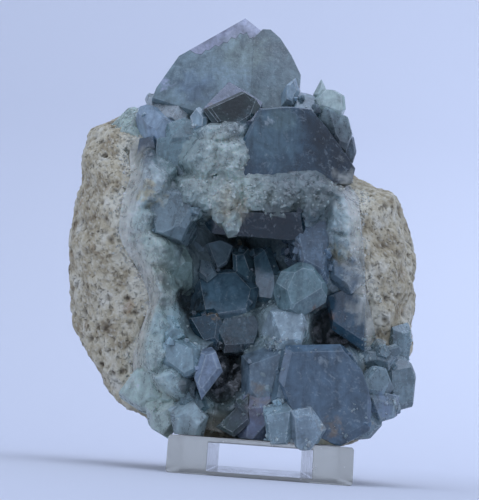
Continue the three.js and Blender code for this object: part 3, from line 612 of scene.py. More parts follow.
def read(items, field, width=1, kind=float):
    """One field of every item in a part of a mesh, as rows of this many numbers."""
    values = np.empty(len(items) * width, kind)
    items.foreach_get(field, values)
    return values.reshape(-1, width) if width > 1 else values


BOX_LOW, BOX_HIGH = (to_table(corner) for corner in CAD_BOUNDS)


def corner_noise(cells, seed):
    """A number from 0 to 1 for each whole-numbered cell: what is left of a large sine of its place."""
    mix = cells @ np.array([127.1, 311.7, 74.7]) + seed * 19.19
    return np.modf(np.abs(np.sin(mix) * 43758.5453))[0]


def smooth_noise(points, size, seed):
    """Noise from -1 to 1: random heights at the corners of a grid of cubes, blended between them."""
    place = points / size
    low = np.floor(place)
    blend = place - low
    blend = blend * blend * (3 - 2 * blend)
    total = np.zeros(len(points))
    for corner in itertools.product((0, 1), repeat=3):
        weight = np.prod(np.where(corner, blend, 1 - blend), axis=-1)
        total += weight * corner_noise(low + corner, seed)
    return total * 2 - 1


def nearest_spots(points, size, seed):
    """One spot lies at random in each cube of a grid: the distance to the nearest one, and its number."""
    place = points / size
    low = np.floor(place)
    best = np.full(len(points), 9.0)
    number = np.zeros(len(points))
    for step in itertools.product((-1, 0, 1), repeat=3):
        cell = low + step
        spot = cell + np.stack([corner_noise(cell, seed + axis) for axis in range(3)], -1)
        distance = np.linalg.norm(place - spot, axis=-1)
        nearer = distance < best
        best = np.where(nearer, distance, best)
        number = np.where(nearer, corner_noise(cell, seed + 3), number)
    return best * size, number


def closed_curve(rows, turns):
    """A closed curve through rows of numbers: cubic between two rows, its slope at each row half the
    difference of that row's neighbours. turns run from 0 to 1 once round."""
    place = (np.asarray(turns) % 1) * len(rows)
    start = np.floor(place).astype(int)
    t = (place - start)[..., None]
    before, here, after, beyond = (rows[(start + k) % len(rows)] for k in (-1, 0, 1, 2))
    slope, next_slope = (after - before) / 2, (beyond - here) / 2
    curve = 2 * here - 2 * after + slope + next_slope
    bend = 3 * after - 3 * here - 2 * slope - next_slope
    return here + slope * t + bend * t ** 2 + curve * t ** 3


def swell(points):
    """Low swells and hollows of the rock: five sines of different lengths and directions, added."""
    x, y, z = points[..., 0], points[..., 1], points[..., 2]
    return (1.5 * np.sin(x * 0.11 + z * 0.05 + 1.3) + 1.3 * np.sin(z * 0.13 - y * 0.09 + 0.4)
            + 1.0 * np.sin(y * 0.21 + x * 0.17 - z * 0.06 + 2.1) + 0.7 * np.sin(z * 0.31 + x * 0.23 + 4.0)
            + 0.6 * np.sin(y * 0.37 - z * 0.27 + 5.2))


def drawn_in(rows, middle, share):
    """The across and up of the outline's rows, drawn in to a share of their way from a middle."""
    across = middle["across"] + (rows[..., 0] - middle["across"]) * share
    return across, middle["up"] + (rows[..., 1] - middle["up"]) * share


def oval_reach(flat, across, up, half_across, half_up):
    """How far out in an oval each place is: 0 in its middle and 1 on its edge, squared."""
    return ((flat[..., 0] - across) / half_across) ** 2 + ((flat[..., 1] - up) / half_up) ** 2


def bowl_points(turns, out, forward):
    """The bowl in the rock's front: from the hollow's middle out to the rim, its depth a quarter sine."""
    rows = closed_curve(ROCK_OUTLINE, turns)
    across, up = drawn_in(rows, HOLLOW, rows[..., 3] * out)
    depth = HOLLOW["depth"] + (rows[..., 4] - HOLLOW["depth"]) * np.sin(out * math.pi / 2)
    points = placed(across, up, depth)
    points[..., 1] += swell(points) * out - forward
    return points


def rind_points(turns, along):
    """The rind, from the rim to the widest outline: a quarter of an ellipse in depth and outwards."""
    rows = closed_curve(ROCK_OUTLINE, turns)
    turn = along * math.pi / 2
    across, up = drawn_in(rows, HOLLOW, rows[..., 3] + (1 - rows[..., 3]) * np.sin(turn))
    return placed(across, up, rows[..., 4] + (rows[..., 2] - rows[..., 4]) * (1 - np.cos(turn)))


def back_points(turns, along):
    """The rock's back, from the widest outline to its middle: a dome, a little squarer than a circle."""
    rows = closed_curve(ROCK_OUTLINE, turns)
    turn = along * math.pi / 2
    across, up = drawn_in(rows, BACK, np.maximum(np.cos(turn), 0) ** 0.8)
    return placed(across, up, rows[..., 2] + (BACK["depth"] - rows[..., 2]) * np.sin(turn) ** 0.9)


def wrapped_faces(rings, columns):
    """Quads of a grid whose columns run once round, and a fan of triangles at each of its two poles.
    Points are numbered ring by ring, with the first and the last pole after them."""
    ring, column = np.meshgrid(np.arange(rings - 1), np.arange(columns), indexing="ij")
    after = (column + 1) % columns
    low, high = ring * columns, (ring + 1) * columns
    quads = np.stack([low + column, high + column, high + after, low + after], -1).reshape(-1, 4)
    around = np.arange(columns)
    following = (around + 1) % columns
    first = np.full(columns, rings * columns)
    last = (rings - 1) * columns
    fans = [np.stack([first, around, following], -1),
            np.stack([first + 1, last + following, last + around], -1)]
    return quads.tolist() + np.concatenate(fans).tolist()


def mesh_object(name, points, faces):
    """A new object from points in the row's metres, with its faces turned outwards."""
    mesh = bpy.data.meshes.new(name)
    mesh.from_pydata(points.tolist(), [], faces)
    work = bmesh.new()
    work.from_mesh(mesh)
    bmesh.ops.recalc_face_normals(work, faces=work.faces)
    work.to_mesh(mesh)
    work.free()
    obj = bpy.data.objects.new(name, mesh)
    bpy.context.scene.collection.objects.link(obj)
    return obj


def set_attribute(mesh, name, kind, domain, values):
    layer = mesh.attributes.new(name, kind, domain)
    field = "vector" if kind == "FLOAT_VECTOR" else "value"
    layer.data.foreach_set(field, np.asarray(values, np.float32).ravel())


def grid_normals(points):
    """Normals of a grid that wraps along its columns: the steps along and across it, crossed."""
    around = np.roll(points, -1, axis=1) - np.roll(points, 1, axis=1)
    along = np.gradient(points, axis=0)
    return unit(np.cross(along, around) + 1e-9)


def cut_flat(work, place, normal):
    """Cuts a convex body along a plane: what stands beyond goes, and one flat face closes the cut."""
    everything = [*work.verts, *work.edges, *work.faces]
    cut = bmesh.ops.bisect_plane(work, geom=everything, dist=1e-7, plane_co=place, plane_no=normal,
                                 clear_outer=True)
    rim = [part for part in cut["geom_cut"] if isinstance(part, bmesh.types.BMEdge)]
    if rim:
        bmesh.ops.holes_fill(work, edges=rim, sides=0)


def crystal_solid(points, facets, look, bevel, draw):
    """One crystal: the hull of its rings, cut flat along each facet, its edges worn by a bevel.
    Every face keeps the crystal's haze and colour, and worn edges are marked with their paleness, frosted
    wear and a painted highlight."""
    work = bmesh.new()
    corners = [work.verts.new(point) for point in to_world(points)]
    hull = bmesh.ops.convex_hull(work, input=corners)
    inside = {v for v in hull["geom_interior"] + hull["geom_unused"] if isinstance(v, bmesh.types.BMVert)}
    bmesh.ops.delete(work, geom=[v for v in inside if v.is_valid], context="VERTS")
    for place, normal in facets:
        cut_flat(work, to_world(place), normal)
    bmesh.ops.remove_doubles(work, verts=work.verts, dist=SMALLEST_EDGE * MM)
    bmesh.ops.dissolve_limit(work, angle_limit=math.radians(1.5), verts=work.verts, edges=work.edges)
    haze_layer = work.faces.layers.float.new("haze")
    edge_layer = work.faces.layers.float.new("worn_and_glint")
    tint_layer = work.faces.layers.float_vector.new("tint")
    haze, tint, wear_and_glint = look
    for face in work.faces:
        face[haze_layer] = max(haze, 0)
        # Painted reflection in part: each facet a little lighter or darker at random.
        face[tint_layer] = tint * (1 + draw.uniform(-1, 1) * FACET_SPREAD)
    worn_and_glint = {"faces": []}
    if bevel:
        worn_and_glint = bmesh.ops.bevel(work, geom=list(work.edges), offset=bevel * MM, offset_type="OFFSET",
                               segments=EDGE_SEGMENTS, profile=0.5, affect="EDGES", clamp_overlap=True)
    for face in worn_and_glint["faces"]:
        face[haze_layer] = max(haze, 0)
        face[tint_layer] = tint
        face[edge_layer] = wear_and_glint
    mesh = bpy.data.meshes.new("crystal")
    work.to_mesh(mesh)
    work.free()
    return bpy.data.objects.new("crystal", mesh)


def shaded(look, draw):
    """A look's haze, its colour a little lighter or darker from crystal to crystal, and its edges'
    paleness:
    frosted wear and painted highlight.
    """
    haze, colour, wear_and_glint = LOOKS[look]
    spread = (1 + draw.uniform(-1, 1) * TINT_SPREAD) * (1 + draw.uniform(-1, 1, 3) * TINT_SPREAD / 2)
    return haze, linear(colour) * spread, wear_and_glint


def face_crystal(row, size, bevel, draw):
    """A crystal: its outline on a leaning plane, carried back to a narrower root. Slanting facets of
    uneven width then cut the edges of its end face, and a few its corners."""
    look, depth, lean, back, cut, rise, outline = row
    bevel = bevel * (1 + FROSTED_WEAR * max(haze_of(row), 0) ** 2)
    flat = np.array(outline, float)
    anchor = placed(*flat.mean(0), depth)
    normal = unit(np.array([lean[0], -1, lean[1]]))
    corners = placed_on_plane(flat[:, 0], flat[:, 1], anchor, normal)
    middle = corners.mean(0)
    corners = middle + (corners - middle) * size
    arms = corners - middle
    points = np.concatenate([corners, corners - normal * rise,
                             middle + arms * ROOT_SHARE - normal * back])
    following = np.roll(corners, -1, axis=0)
    halfway = (corners + following) / 2
    outward = unit(np.cross(following - corners, normal))
    outward *= np.sign((outward * (halfway - middle)).sum(1, keepdims=True))
    apothem = ((halfway - middle) * outward).sum(1)
    facets = []
    for place, out, reach in zip(halfway, outward, apothem):
        inset = reach * (1 - cut) * draw.uniform(*FACET_INSET)
        slant = math.radians(draw.uniform(*FACET_SLANT))
        facets.append((place - out * inset, normal * math.cos(slant) + out * math.sin(slant)))
    for arm, corner in zip(arms, corners):
        if draw.random() < CORNER_FACETS:
            out = unit(arm)
            slant = math.radians(draw.uniform(*FACET_SLANT))
            inset = np.linalg.norm(arm) * (1 - cut) * draw.uniform(*CORNER_INSET)
            facets.append((corner - out * inset, normal * math.cos(slant) + out * math.sin(slant)))
    return crystal_solid(points, facets, shaded(look, draw), bevel, draw)


def carried_back(name, flat, anchor, normal, front, back):
    """A flat outline on the plane through anchor, carried along the normal from front to back."""
    flat = np.array(flat, float)
    face = placed_on_plane(flat[:, 0], flat[:, 1], anchor, normal)
    points = np.concatenate([face + normal * front, face - normal * back])
    count = len(flat)
    faces = [list(range(count)), list(range(2 * count - 1, count - 1, -1))]
    faces += [[i, i + count, (i + 1) % count + count, (i + 1) % count] for i in range(count)]
    return mesh_object(name, to_world(points), faces)


def giant_solids(bevel, draw):
    """The largest crystal in three: its murky body, its clear tip above the growth line, and the part
    grown on. A narrow gap along the growth line catches the light."""
    normal = unit(np.array([GIANT["lean"][0], -1, GIANT["lean"][1]]))
    flat = np.array(GIANT["outline"], float)
    anchor = placed(*flat.mean(0), GIANT["depth"])
    first, last = (placed_on_plane(*end, anchor, normal) for end in GIANT["roof"])
    outward = unit(np.cross(last - first, normal))
    outward *= np.sign(outward[2])
    slant = math.radians(GIANT["roof_slant"])
    roof = [(first, normal * math.cos(slant) + outward * math.sin(slant))]
    wholes = []
    for name, look, raised in (("outline", "giant", 0), ("outline", "tip", 0),
                               ("grown_on", "lobe", GROWN_ON)):
        corners = placed_on_plane(*np.array(GIANT[name], float).T, anchor, normal) + normal * raised
        arms = corners - corners.mean(0)
        points = np.concatenate([corners - arms * GIANT_TAPER, corners - normal * GIANT_SHOULDER,
                                 corners - normal * GIANT["waist"],
                                 corners - arms * (1 - ROOT_SHARE) - normal * GIANT["back"]])
        wholes.append(crystal_solid(points, roof, shaded(look, draw), bevel, draw))
    line = np.array(GIANT["growth_line"], float) - (0, GROWTH_LOWER)
    above = [(line[-1][0], TIP_TOP), (line[0][0], TIP_TOP)]
    upper = [carried_back("upper", [*(line + (0, shift)), *above], anchor, normal, TIP_FRONT, TIP_BACK)
             for shift in (0, GROWTH_GAP)]
    body = combined("giant_body", wholes[0], [upper[0]], "DIFFERENCE")
    tip = combined("giant_tip", wholes[1], [upper[1]], "INTERSECT")
    return [body, wholes[2]], tip


def small_crystal(spot, axis, wide, length, look, bevel, draw):
    """A smaller crystal: a six-sided prism, flatter one way, its end cut by slanting facets."""
    side = unit(np.cross(axis, np.array([0.3, 0.2, 1.0])))
    flat = np.cross(axis, side)
    turn = draw.uniform(0, math.pi)
    cosine, sine = math.cos(turn), math.sin(turn)
    side, flat = side * cosine + flat * sine, flat * cosine - side * sine
    angles = np.arange(6)[:, None] * math.pi / 3
    thin = draw.uniform(*SMALL_THIN)
    ring = side * np.cos(angles) * wide + flat * np.sin(angles) * wide * thin
    points = np.concatenate([spot + ring + axis * wide, spot + ring * ROOT_SHARE - axis * length])
    flat_inset, side_inset = SMALL_INSETS[0] * thin, SMALL_INSETS[1]
    facets = []
    for out, inset in ((flat, flat_inset), (-flat, flat_inset), (side, side_inset), (-side, side_inset)):
        slant = math.radians(draw.uniform(*SMALL_SLANT))
        place = spot + axis * wide + out * wide * (1 - inset - draw.uniform(*SMALL_EXTRA))
        facets.append((place, axis * math.cos(slant) + out * math.sin(slant)))
    return crystal_solid(points, facets, look, bevel, draw)


def combined(name, base, others, operation):
    """The base solid with others added to it or cut from it, as one closed mesh."""
    holder = bpy.data.collections.new(name + "_parts")
    bpy.context.scene.collection.children.link(holder)
    for other in others:
        holder.objects.link(other)
    if base.name not in bpy.context.scene.collection.objects:
        bpy.context.scene.collection.objects.link(base)
    change = base.modifiers.new("combine", "BOOLEAN")
    change.operation = operation
    change.operand_type = "COLLECTION"
    change.collection = holder
    change.solver = "MANIFOLD"
    depsgraph = bpy.context.evaluated_depsgraph_get()
    mesh = bpy.data.meshes.new_from_object(base.evaluated_get(depsgraph))
    result = bpy.data.objects.new(name, mesh)
    bpy.context.scene.collection.objects.link(result)
    for spent in [*others, base]:
        bpy.data.meshes.remove(spent.data)
    bpy.data.collections.remove(holder)
    return result


def check_closed(obj):
    """Raises an error if the mesh has an edge that doesn't join exactly two faces."""
    work = bmesh.new()
    work.from_mesh(obj.data)
    open_edges = sum(1 for edge in work.edges if not edge.is_manifold)
    work.free()
    if open_edges:
        raise RuntimeError(f"{obj.name} has {open_edges} edges that aren't closed")


def stand_block():
    """The stand's outer box and the gap round it, which the stone keeps clear of."""
    low, high = STAND_LOW - MIDDLE - STAND_GAP, STAND_HIGH - MIDDLE + STAND_GAP
    low[2] -= STAND_HIGH[2]
    corners = np.array(list(itertools.product(*zip(low, high))))
    return crystal_solid(corners, [], (0, np.ones(3), 0), 0, np.random.default_rng(1))


def face_values(mesh, name, width):
    """A face attribute of a mesh as an array, or zeros where it has none."""
    if name not in mesh.attributes:
        return np.zeros((len(mesh.polygons), width) if width > 1 else len(mesh.polygons), np.float32)
    return read(mesh.attributes[name].data, "vector" if width > 1 else "value", width, np.float32)


def surface_of(obj):
    """A mesh's triangles, in table millimetres, with the haze and tint of the crystal each is on."""
    mesh = obj.data
    mesh.calc_loop_triangles()
    corners = read(mesh.loop_triangles, "vertices", 3, int)
    faces = read(mesh.loop_triangles, "polygon_index", 1, int)
    triangles = to_table(read(mesh.vertices, "co", 3))[corners]
    return triangles, face_values(mesh, "haze", 1)[faces], face_values(mesh, "tint", 3)[faces]


def scattered(triangles, count, draw):
    """Random points spread evenly over triangles, with the normals there and which triangle each is on."""
    crossed = np.cross(triangles[:, 1] - triangles[:, 0], triangles[:, 2] - triangles[:, 0])
    areas = np.linalg.norm(crossed, axis=1)
    chosen = draw.choice(len(triangles), count, p=areas / areas.sum())
    first, second = draw.random((2, count, 1))
    flip = first + second > 1
    first, second = np.where(flip, 1 - first, first), np.where(flip, 1 - second, second)
    a, b, c = triangles[chosen].transpose(1, 0, 2)
    return a + (b - a) * first + (c - a) * second, crossed[chosen] / areas[chosen, None], chosen


def kept_bare(points):
    """Whether each point is seen within one of the faces or pockets that stay bare."""
    flat = seen_at(points)
    return np.any([oval_reach(flat, *oval) < 1 for oval in BARE], axis=0)


def zone_share(points):
    """How densely small crystals crowd at each point: the strongest zone there, fading out at its edge."""
    flat = seen_at(points)
    share = np.where(kept_bare(points), 0, SUGAR_EVERYWHERE)
    for *oval, density in SUGAR_ZONES:
        share = np.maximum(share, density * np.clip(ZONE_FULL - oval_reach(flat, *oval), 0, 1))
    return share


def inside_cad(points, margin):
    """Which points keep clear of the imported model's box by a margin in millimetres."""
    return ((points > BOX_LOW + margin) & (points < BOX_HIGH - margin)).all(-1)


def kept_inside(obj):
    """Moves a piece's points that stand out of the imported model's box back to its sides."""
    vertices = obj.data.vertices
    vertices.foreach_set("co", np.clip(read(vertices, "co", 3), *CAD_BOUNDS).ravel())


def filler_solids(surface, count, draw, bevel):
    """Smaller crystals that fill the gaps between the large ones. Each stands on what is already
    there, and takes after the crystal that it stands on, darker in a pocket by painted shade."""
    triangles, hazes, tints = surface
    smallest, widest = FILLER_WIDE
    spots, normals, chosen = scattered(triangles, count * FILLER_TRIES, draw)
    towards = unit(EYE - spots)
    facing = (normals * towards).sum(1)
    front = (facing > FILLER_FACING[0]) & (facing < FILLER_FACING[1])
    front &= (spots[:, 1] < FILLER_DEEPEST) & inside_cad(spots, widest * FILLER_CLEAR)
    front &= ~kept_bare(spots) & (normals[:, 2] > LOWEST_NORMAL)
    # Painted shade: a crystal in a pocket is darkened by the pocket's darkness.
    dark = pocket_share(seen_at(spots))[1]
    solids = []
    for index in np.flatnonzero(front)[:count]:
        wide = smallest + (widest - smallest) * draw.random() ** FILLER_UNEVEN
        upright, forward, tilt = FILLER_AXIS
        axis = unit(normals[index] * upright + towards[index] * forward + draw.normal(0, tilt, 3))
        tint = tints[chosen[index]] * draw.uniform(*FILLER_LIGHTNESS) * (1 - dark[index])
        look = (hazes[chosen[index]], tint, FILLER_WEAR_AND_GLINT)
        solids.append(small_crystal(spots[index], axis, wide, wide * FILLER_LONG, look, bevel, draw))
    return solids


def finished(obj, material):
    """Gives a closed piece its one material and carries it on the stone."""
    check_closed(obj)
    obj.data.materials.clear()
    obj.data.materials.append(material)
    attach(obj, "root")
    return obj


def cleared(name, obj):
    """The piece cut clear of the stand."""
    return combined(name, obj, [stand_block()], "DIFFERENCE")


def crystal_piece(name, node, rows, group, seed, bevel, extra):
    """Large crystals joined into one solid, filled with smaller ones, and cut clear of the stand."""
    draw = np.random.default_rng(seed)
    cloudy = [row for row in rows if haze_of(row) != CLEAR]
    solids = [face_crystal(row, INTERLOCK[group], bevel, draw) for row in cloudy] + extra
    large = combined(name + "_large", solids[0], solids[1:], "UNION")
    surface = surface_of(large)
    more = filler_solids(surface, FILLERS[group], draw, bevel * FILLER_BEVEL)
    filled = combined(name + "_filled", large, more, "UNION")
    piece = cleared(name, filled)
    kept_inside(piece)
    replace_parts(finished(piece, celestite("clouded")), node)


def clear_piece(tip, bevel):
    """The clear crystals, one solid of their own: the largest one's tip, and those at the sides."""
    draw = np.random.default_rng(53)
    rows = [row for row in (*CROWN, *CRUST) if haze_of(row) == CLEAR]
    solids = [face_crystal(row, INTERLOCK["crown"], bevel, draw) for row in rows]
    piece = finished(combined("celestite_clear", tip, solids, "UNION"), celestite("clear"))


def fused_crystals(flat, size, seed):
    """Crystals grown together, as heights over a flat sheet: one stands in each cell of a grid, at
    random, and three slanting faces fall away from its blunt tip. The tallest at a place shows, and
    where two meet they blend over a short way, by the logarithm of their summed exponentials."""
    place = np.column_stack([flat / size, np.zeros(len(flat))])
    low = np.floor(place)
    total = np.zeros(len(flat))
    for across, up in itertools.product((-1, 0, 1), repeat=2):
        cell = low + (across, up, 0)
        chance = [corner_noise(cell, seed + draw) for draw in range(6)]
        away = place[:, :2] - cell[:, :2] - np.stack(chance[:2], -1)
        fall = np.full(len(flat), -9.0)
        for side in range(3):
            angle = (chance[2] + side / 3) * math.tau
            steep = CLUSTER_SLOPE[0] + CLUSTER_SLOPE[1] * np.modf(chance[3] * (side + 1) * 3.7)[0]
            fall = np.maximum(fall, (away[:, 0] * np.cos(angle) + away[:, 1] * np.sin(angle)) * steep)
        height = CLUSTER_HEIGHT[0] + CLUSTER_HEIGHT[1] * chance[4]
        total += np.exp((height - np.maximum(fall - CLUSTER_BLUNT * chance[5], 0)) * CLUSTER_SHARP)
    return np.log(total) / CLUSTER_SHARP


def cluster_relief(flat, layers):
    """Layers of crystals grown together, one over another, each with its size, height and pattern."""
    return sum(rise * fused_crystals(flat, size, seed) for size, rise, seed in layers)


def row_influence(flat, rows, reach):
    """How strongly each place belongs to each large crystal: 1 in its core, a share of its mean radius,
    and falling off beyond it as a bell curve."""
    shares = []
    for row in rows:
        outline = np.array(row[-1], float)
        middle = outline.mean(0)
        radius = np.linalg.norm(outline - middle, axis=1).mean() * ROW_CORE
        beyond = np.maximum(np.linalg.norm(flat - middle, axis=1) - radius, 0)
        shares.append(np.exp(-(beyond / reach) ** 2 / 2) + 1e-6)
    return np.array(shares)


def pocket_share(flat):
    """How deep in a pocket each place is, in millimetres, and how much painted shade darkens its colour
    there.
    """
    deep, dark = np.zeros((2, len(flat)))
    for *oval, drop, darkness in POCKETS:
        share = np.clip(POCKET_FULL - POCKET_STEEP * oval_reach(flat, *oval), 0, 1)
        deep = np.maximum(deep, drop * share)
        dark = np.maximum(dark, darkness * share)
    return deep, dark


def fused_face(flat, row):
    """The depth of one frosted crystal's face at each place. It is a leaning plane, and falls away
    beyond each side of its outline, steeper further out. The sides meet in a rounded way, by the
    logarithm of their summed exponentials, and some are steeper than others."""
    _, depth, lean, steep, outline = row
    corners = np.array(outline, float)
    middle = corners.mean(0)
    following = np.roll(corners, -1, axis=0)
    halfway = (corners + following) / 2
    along = unit(following - corners)
    outward = np.stack([along[:, 1], -along[:, 0]], -1)
    outward *= np.sign(((halfway - middle) * outward).sum(1, keepdims=True))
    chance = corner_noise(np.column_stack([halfway, np.zeros(len(halfway))]), 68)
    steeps = FUSED_STEEP[0] + FUSED_STEEP[1] * chance
    beyond = ((flat[:, None, :] - halfway) * outward).sum(-1) + FUSED_SHOULDER
    sides = np.column_stack([beyond * steeps, np.zeros(len(flat))])
    falls = np.logaddexp.reduce(sides / FUSED_ROUND, axis=1) * FUSED_ROUND
    return depth + (flat - middle) @ np.array(lean) + falls * steep + (falls / FUSED_PLUNGE) ** 2


def ground_depth(flat, bowl, rows, shares, deep, rim):
    """How deep the ground lies at each place: behind the large faces, or in front of the bowl away from
    them, less the pockets, with its small crystals and the fused ones; at the rim it meets the rock."""
    planes = []
    for row in rows:
        away = flat - np.array(row[-1], float).mean(0)
        sunk = GROUND_SUNK - GROUND_RAISED * max(haze_of(row), 0)
        planes.append(row[1] + sunk + np.clip(away @ np.array(row[2]), -LEAN_MOST, LEAN_MOST))
    follow = (shares * np.array(planes)).sum(0) / shares.sum(0)
    nearness = np.clip(shares.max(0) * GROUND_NEAR, 0, 1)
    relief = cluster_relief(flat, GROUND_CRYSTALS)
    depth = follow * nearness + (bowl - GROUND_AHEAD) * (1 - nearness) + deep - (relief - RELIEF_MEAN)
    sugar, frost = cluster_relief(flat, SUGAR_CRYSTALS), cluster_relief(flat, FROST_CRYSTALS)
    faces = [fused_face(flat, row) - (sugar if haze_of(row) > MILKY else frost) for row in FUSED]
    depth = -np.logaddexp.reduce(-np.array([depth, *faces]) * FUSED_MEETS) / FUSED_MEETS
    depth = np.minimum(depth, bowl - relief * BOWL_RELIEF)
    return depth * (1 - rim) + (bowl + BED_THICK + 1 - relief * BOWL_RELIEF) * rim


def ground_shades(rows, shares, dark, rim):
    """The ground's colour and haze at each place: those of the crystals near it, paler, cream at the rim
    and darker in the pockets, where shade is painted into the colour."""
    colours = np.array([linear(LOOKS[row[0]][1]) for row in rows])
    hazes = np.array([max(haze_of(row), MURKY) for row in rows])
    weights = shares ** 2 / (shares ** 2).sum(0)
    tint = np.einsum("rp,rc->pc", weights, colours) * (1 - GROUND_PALE)
    tint += linear(LOOKS["frost"][1]) * GROUND_PALE
    cream = (RIM_CREAM[1] * rim)[:, None]
    # Painted shade: the colour is darkened in the pockets.
    tint = (tint * (1 - cream) + linear(RIM_CREAM[0]) * cream) * (1 - dark)[:, None]
    return tint, (weights * hazes[:, None]).sum(0) * (1 - POCKET_CLEARS * dark)


def ground_piece():
    """The frosted mass that the crystals stand in, over the whole bowl out to the rim. Its depth follows
    the large crystals' faces, a little behind them, and drops into the hollow and the pockets."""
    out = np.linspace(0, 1, GROUND_RINGS + 1)[1:] ** 0.8
    turns = ((1 - np.arange(GROUND_COLUMNS) / GROUND_COLUMNS) % 1)[None, :]
    outline = closed_curve(ROCK_OUTLINE, turns)
    flat = np.stack(drawn_in(outline, HOLLOW, outline[..., 3] * out[:, None]), -1).reshape(-1, 2)
    bowl = bowl_points(turns, out[:, None], BED_THICK)[..., 1].ravel()
    rows = [row for row in (*CRUST, *CROWN, *FUSED) if row[0] != "overhang"]
    shares = row_influence(flat, rows, GROUND_FOLLOWS)
    deep, dark = pocket_share(flat)
    rim = np.repeat(np.clip((out - RIM_MEETS) / (1 - RIM_MEETS), 0, 1), GROUND_COLUMNS)
    rim = rim * rim * (3 - 2 * rim)
    points = placed(flat[:, 0], flat[:, 1], ground_depth(flat, bowl, rows, shares, deep, rim))
    points[:, 1] += sum(height * smooth_noise(points, size, seed) for height, size, seed in GROUND_GRAIN)
    points = np.clip(points, BOX_LOW, BOX_HIGH)
    behind = points[-GROUND_COLUMNS:] + (0, BED_THICK + BED_SUNK, 0)
    back_pole = placed(HOLLOW["across"], HOLLOW["up"], HOLLOW["depth"] + BED_SUNK)
    poles = np.stack([points[:GROUND_COLUMNS].mean(0), back_pole])
    faces = wrapped_faces(GROUND_RINGS + 1, GROUND_COLUMNS)
    bare = mesh_object("ground_bare", to_world(np.concatenate([points, behind, poles])), faces)
    tint, haze = ground_shades(rows, shares, dark, rim)
    extra = GROUND_COLUMNS + 2
    tint = np.concatenate([tint, np.tile(tint[-1], (extra, 1))])
    haze = np.concatenate([haze, np.full(extra, haze[-1])])
    smooth = np.concatenate([rim > RIM_SMOOTH, np.zeros(extra, bool)])
    first_corner = np.array([face[0] for face in faces])
    set_attribute(bare.data, "tint", "FLOAT_VECTOR", "FACE", tint[first_corner])
    set_attribute(bare.data, "haze", "FLOAT", "FACE", haze[first_corner])
    bare.data.polygons.foreach_set("use_smooth", smooth[first_corner])
    ground = finished(cleared("frosted_ground", bare), celestite("clouded"))


# The rock's middle. Its grid has columns round it, and rings over the bowl, the rind and the back.
HEART = (0, 0, 8)
ROCK_COLUMNS = 560
ROCK_RINGS = {"bowl": 8, "rind": 58, "back": 100}

# The rock's lumps: how high, how wide in millimetres, and which pattern. Its pits and grains: how far
# apart, which pattern, how wide, how full they are in the middle, and the share that is left out.
ROCK_LUMPS = ((0.9, 9, 1), (0.5, 4, 2), (0.35, 2, 3))
ROCK_SPOTS = ((5, 11, 1.6, 1.3, 0.62), (2.2, 21, 0.8, 1.3, 0.45), (1.3, 31, 0.8, 1, 0.5))
PIT_DEPTHS = (1.5, 0.9)
GRAIN_HEIGHT = 0.45
ROCK_LOWERED = 0.9


def rock_grid():
    """The rock's bare form as rings of points, from the hollow's middle round to the back's."""
    turns = ((1 - np.arange(ROCK_COLUMNS) / ROCK_COLUMNS) % 1)[None, :]
    bowl, rind, back = (np.linspace(0, 1, ROCK_RINGS[part] + 1)[1:, None] for part in ROCK_RINGS)
    outer = np.concatenate([rind_points(turns, rind), back_points(turns, back[:-1])])
    outer = outer + unit(outer - placed(*HEART)) * (swell(outer) * RIND_SWELL)[..., None]
    return np.concatenate([bowl_points(turns, bowl, 0), outer])


def rock_relief(points):
    """How far each point of the rock stands out, and how deep in a pit it lies, both in millimetres,
    and how much of a grain it is. Lumps, less wide and small pits, more grains."""
    height = sum(rise * smooth_noise(points, size, seed) for rise, size, seed in ROCK_LUMPS)
    spots = []
    for apart, seed, reach, full, left_out in ROCK_SPOTS:
        distance, number = nearest_spots(points, apart, seed)
        spots.append(np.clip(full - distance / reach, 0, 1) * (number > left_out))
    wide, small, grains = spots
    pit = PIT_DEPTHS[0] * wide + PIT_DEPTHS[1] * small
    return height - pit + GRAIN_HEIGHT * grains - ROCK_LOWERED, pit, grains


def small_crystal_form():
    """A tiny crystal along +Z, one unit wide: four sides, and a roof of two slopes with two ends."""
    angles = np.arange(4) * math.pi / 2
    ring = np.stack([np.cos(angles), np.sin(angles) * 0.8], -1)
    root = np.column_stack([ring * 0.85, np.full(4, -2.0)])
    shoulder = np.column_stack([ring, np.full(4, 0.1)])
    ridge = np.array([[0.35, 0.1, 0.8], [-0.35, -0.1, 0.75]])
    faces = [(i, (i + 1) % 4, 4 + (i + 1) % 4, 4 + i) for i in range(4)]
    faces += [(4, 5, 8), (5, 6, 9), (5, 9, 8), (6, 7, 9), (7, 4, 8), (7, 8, 9), (3, 2, 1, 0)]
    return np.concatenate([root, shoulder, ridge]), faces


def repeated(form, faces, places, axes, turns, sizes):
    """Copies of one small form as whole arrays: each copy's sides are its axis crossed with a fixed
    direction and turned, and its points are the form's, scaled along those and moved."""
    side = unit(np.cross(axes, np.array([0.31, 0.17, 0.93])))
    flat = np.cross(axes, side)
    cosine, sine = np.cos(turns)[:, None], np.sin(turns)[:, None]
    side, flat = side * cosine + flat * sine, flat * cosine - side * sine
    frames = np.stack([side, flat, axes], 1) * sizes[:, None, None]
    points = np.einsum("vk,nkd->nvd", form, frames) + places[:, None, :]
    starts = np.arange(len(places)) * len(form)
    all_faces = [tuple(corner + start for corner in face) for start in starts for face in faces]
    return points.reshape(-1, 3), all_faces


def add(tree, kind, values=None, links=None, output=None, **settings):
    """Adds one shader node with its settings, its socket values and the links into it, and returns the
    output of that name, or its first."""
    node = tree.nodes.new("ShaderNode" + kind)
    for name, value in settings.items():
        setattr(node, name, value)
    for socket, value in (values or {}).items():
        node.inputs[socket].default_value = value
    for socket, source in (links or {}).items():
        tree.links.new(source, node.inputs[socket])
    return node.outputs[output or node.outputs[0].name] if len(node.outputs) else None


def new_material(name):
    """An empty material and its node tree."""
    material = bpy.data.materials.new(name)
    material.use_nodes = True
    material.node_tree.nodes.clear()
    return material, material.node_tree


